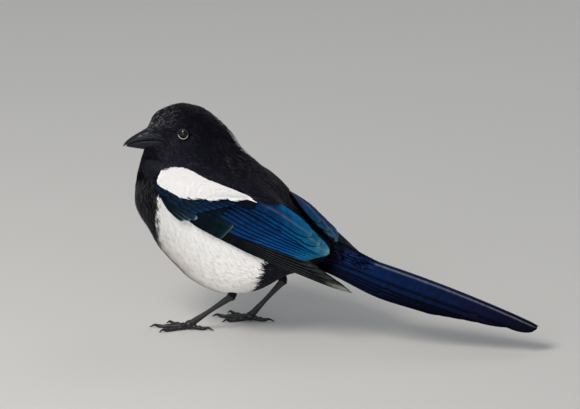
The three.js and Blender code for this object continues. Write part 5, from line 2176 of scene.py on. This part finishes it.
@dataclass(frozen=True)
class Studio:
    """Pale floor, soft lights and the camera at the photograph's view, in metres and degrees."""

    azimuth: float = 14.0
    elevation: float = 19.0
    distance: float = 12.0
    frame_width: float = 0.5394
    target: tuple = (-0.0407, 0.0, 0.1244)
    sensor: float = 36.0
    floor_colour: str = "#c9c9c7"
    floor_half: float = 30.0
    sky_colour: str = "#e9edf2"
    sky_strength: float = 0.42
    lamps: tuple = (Lamp("key", (-0.75, -1.1, 1.7), 0.9, 29, "#fff8f0"),
                    Lamp("fill", (-0.4, -1.7, 0.4), 1.4, 11, "#f4f6ff"),
                    Lamp("rim", (0.5, 1.2, 1.3), 0.8, 2.5, "#ffffff"))

    def back(self) -> Array:
        """The direction from the target to the camera."""
        a, e = math.radians(self.azimuth), math.radians(self.elevation)
        return np.array([math.sin(a) * math.cos(e), -math.cos(a) * math.cos(e), math.sin(e)])

    def aim(self, thing: bpy.types.Object, place: Sequence[float]) -> None:
        """Puts a light or camera at a place and turns it to the target.

        Args:
            thing: the light or camera.
            place: where it goes.
        """
        thing.location = Vector(place)
        way = Vector(self.target) - Vector(place)
        thing.rotation_euler = way.to_track_quat("-Z", "Y").to_euler()

    def add(self, name: str, data: bpy.types.ID) -> bpy.types.Object:
        """Puts a camera, light or mesh into the scene.

        Args:
            name: the object's name.
            data: what it shows.

        Returns:
            The object.
        """
        thing = bpy.data.objects.new(name, data)
        bpy.context.scene.collection.objects.link(thing)
        return thing

    def build_camera(self) -> None:
        """Adds the camera, with the lens that gives the frame's width at its distance."""
        data = bpy.data.cameras.new("camera")
        data.sensor_width = self.sensor
        data.lens = self.sensor / self.frame_width * self.distance
        camera = self.add("camera", data)
        self.aim(camera, np.array(self.target) + self.back() * self.distance)
        bpy.context.scene.camera = camera

    def build_light(self) -> None:
        """Adds the lamps and an even pale sky; colours are shown as they are."""
        for lamp in self.lamps:
            data = bpy.data.lights.new(lamp.name, "AREA")
            data.size, data.energy, data.color = lamp.size, lamp.power, linear(lamp.colour)
            self.aim(self.add(lamp.name, data), lamp.place)
        world = bpy.data.worlds.new("studio")
        world.use_nodes = True
        sky = world.node_tree.nodes["Background"]
        sky.inputs["Color"].default_value = rgba(self.sky_colour)
        sky.inputs["Strength"].default_value = self.sky_strength
        bpy.context.scene.world = world
        bpy.context.scene.view_settings.view_transform = "Standard"

    def build_floor(self) -> None:
        """Adds a floor of matt board, which scatters light evenly."""
        size = self.floor_half
        mesh = bpy.data.meshes.new("floor")
        corners = [(-size, -size, 0), (size, -size, 0), (size, size, 0), (-size, size, 0)]
        mesh.from_pydata(corners, [], [(0, 1, 2, 3)])
        material, tree = new_material("matte_board")
        finish_with(tree, {"Base Color": rgba(self.floor_colour), "Roughness": 0.8}, {})
        mesh.materials.append(material)
        self.add("floor", mesh)

    def build(self) -> None:
        """Builds camera, lights, world and floor."""
        self.build_camera()
        self.build_light()
        self.build_floor()


def main() -> None:
    """Builds the bird part by part, then the studio."""
    logging.basicConfig(level=logging.INFO, format="%(name)s %(message)s")
    rng = np.random.default_rng(SEED)
    # Black small feathers: nearly no colour of their own, and a faint violet gloss.
    black = DownFinish("black_down", roughness=0.45, sheen=0.04, sheen_colour="#5560a0",
                       specular=0.26, gloss="#b4b2d4").build()
    # White small feathers: matt, with a soft bright edge.
    white = DownFinish("white_down", roughness=0.8, sheen=0.2, sheen_colour="#ffffff",
                       specular=0.2, mottle=0.04).build()
    # Flight feathers: a deep blue shine that comes from the barbs' build, over black.
    vanes = VaneFinish("flight_feather_keratin").build()
    # Bill and claws: black horn with a satin gloss.
    horn = HornFinish("horn_keratin", dark="#060709", light="#202227", roughness=0.27).build()
    # Legs and toes: dull black skin in small plates.
    scales = SkinFinish("leg_skin", colour="#15161a").build()
    # Lids: bare skin, moist enough for a low gloss.
    lid = DownFinish("lid_skin", roughness=0.4, sheen=0.0, sheen_colour="#ffffff", specular=0.5,
                     mottle=0.2).build()
    # Eyes: wet and almost black, so that they mirror the lights.
    cornea = EyeFinish("cornea").build()

    body = BodyForm()
    wings = {side: WingForm(side, body) for side in Side}
    Body(body, wings[Side.LEFT], Markings(), black, black, white).build(rng)
    for side in Side:
        Wing(wings[side], vanes).build(rng)
        ShoulderPatch(wings[side], white).build(rng)
        Fringe(wings[side], black).build(rng)
    Tail(TailForm(), vanes, black).build(rng)
    bill = Bill(body, horn)
    bill.build()
    Bristles(bill, black).build(rng)
    Eyes(body, cornea, lid).build()
    Leg(Side.LEFT, knee=(-90, -19, 60), hock=(-92, -17, 35.5), ball=(-132.9, -18.6, 4.4),
        heading=183, thigh_radius=13, scales=scales, horn=horn, black=black).build(rng)
    Leg(Side.RIGHT, knee=(-64, 20, 64), hock=(-51, 17, 43), ball=(-83.7, 18.6, 4.4),
        heading=180, thigh_radius=15, scales=scales, horn=horn, black=black).build(rng)
    Studio().build()


if __name__ == "__main__":
    main()
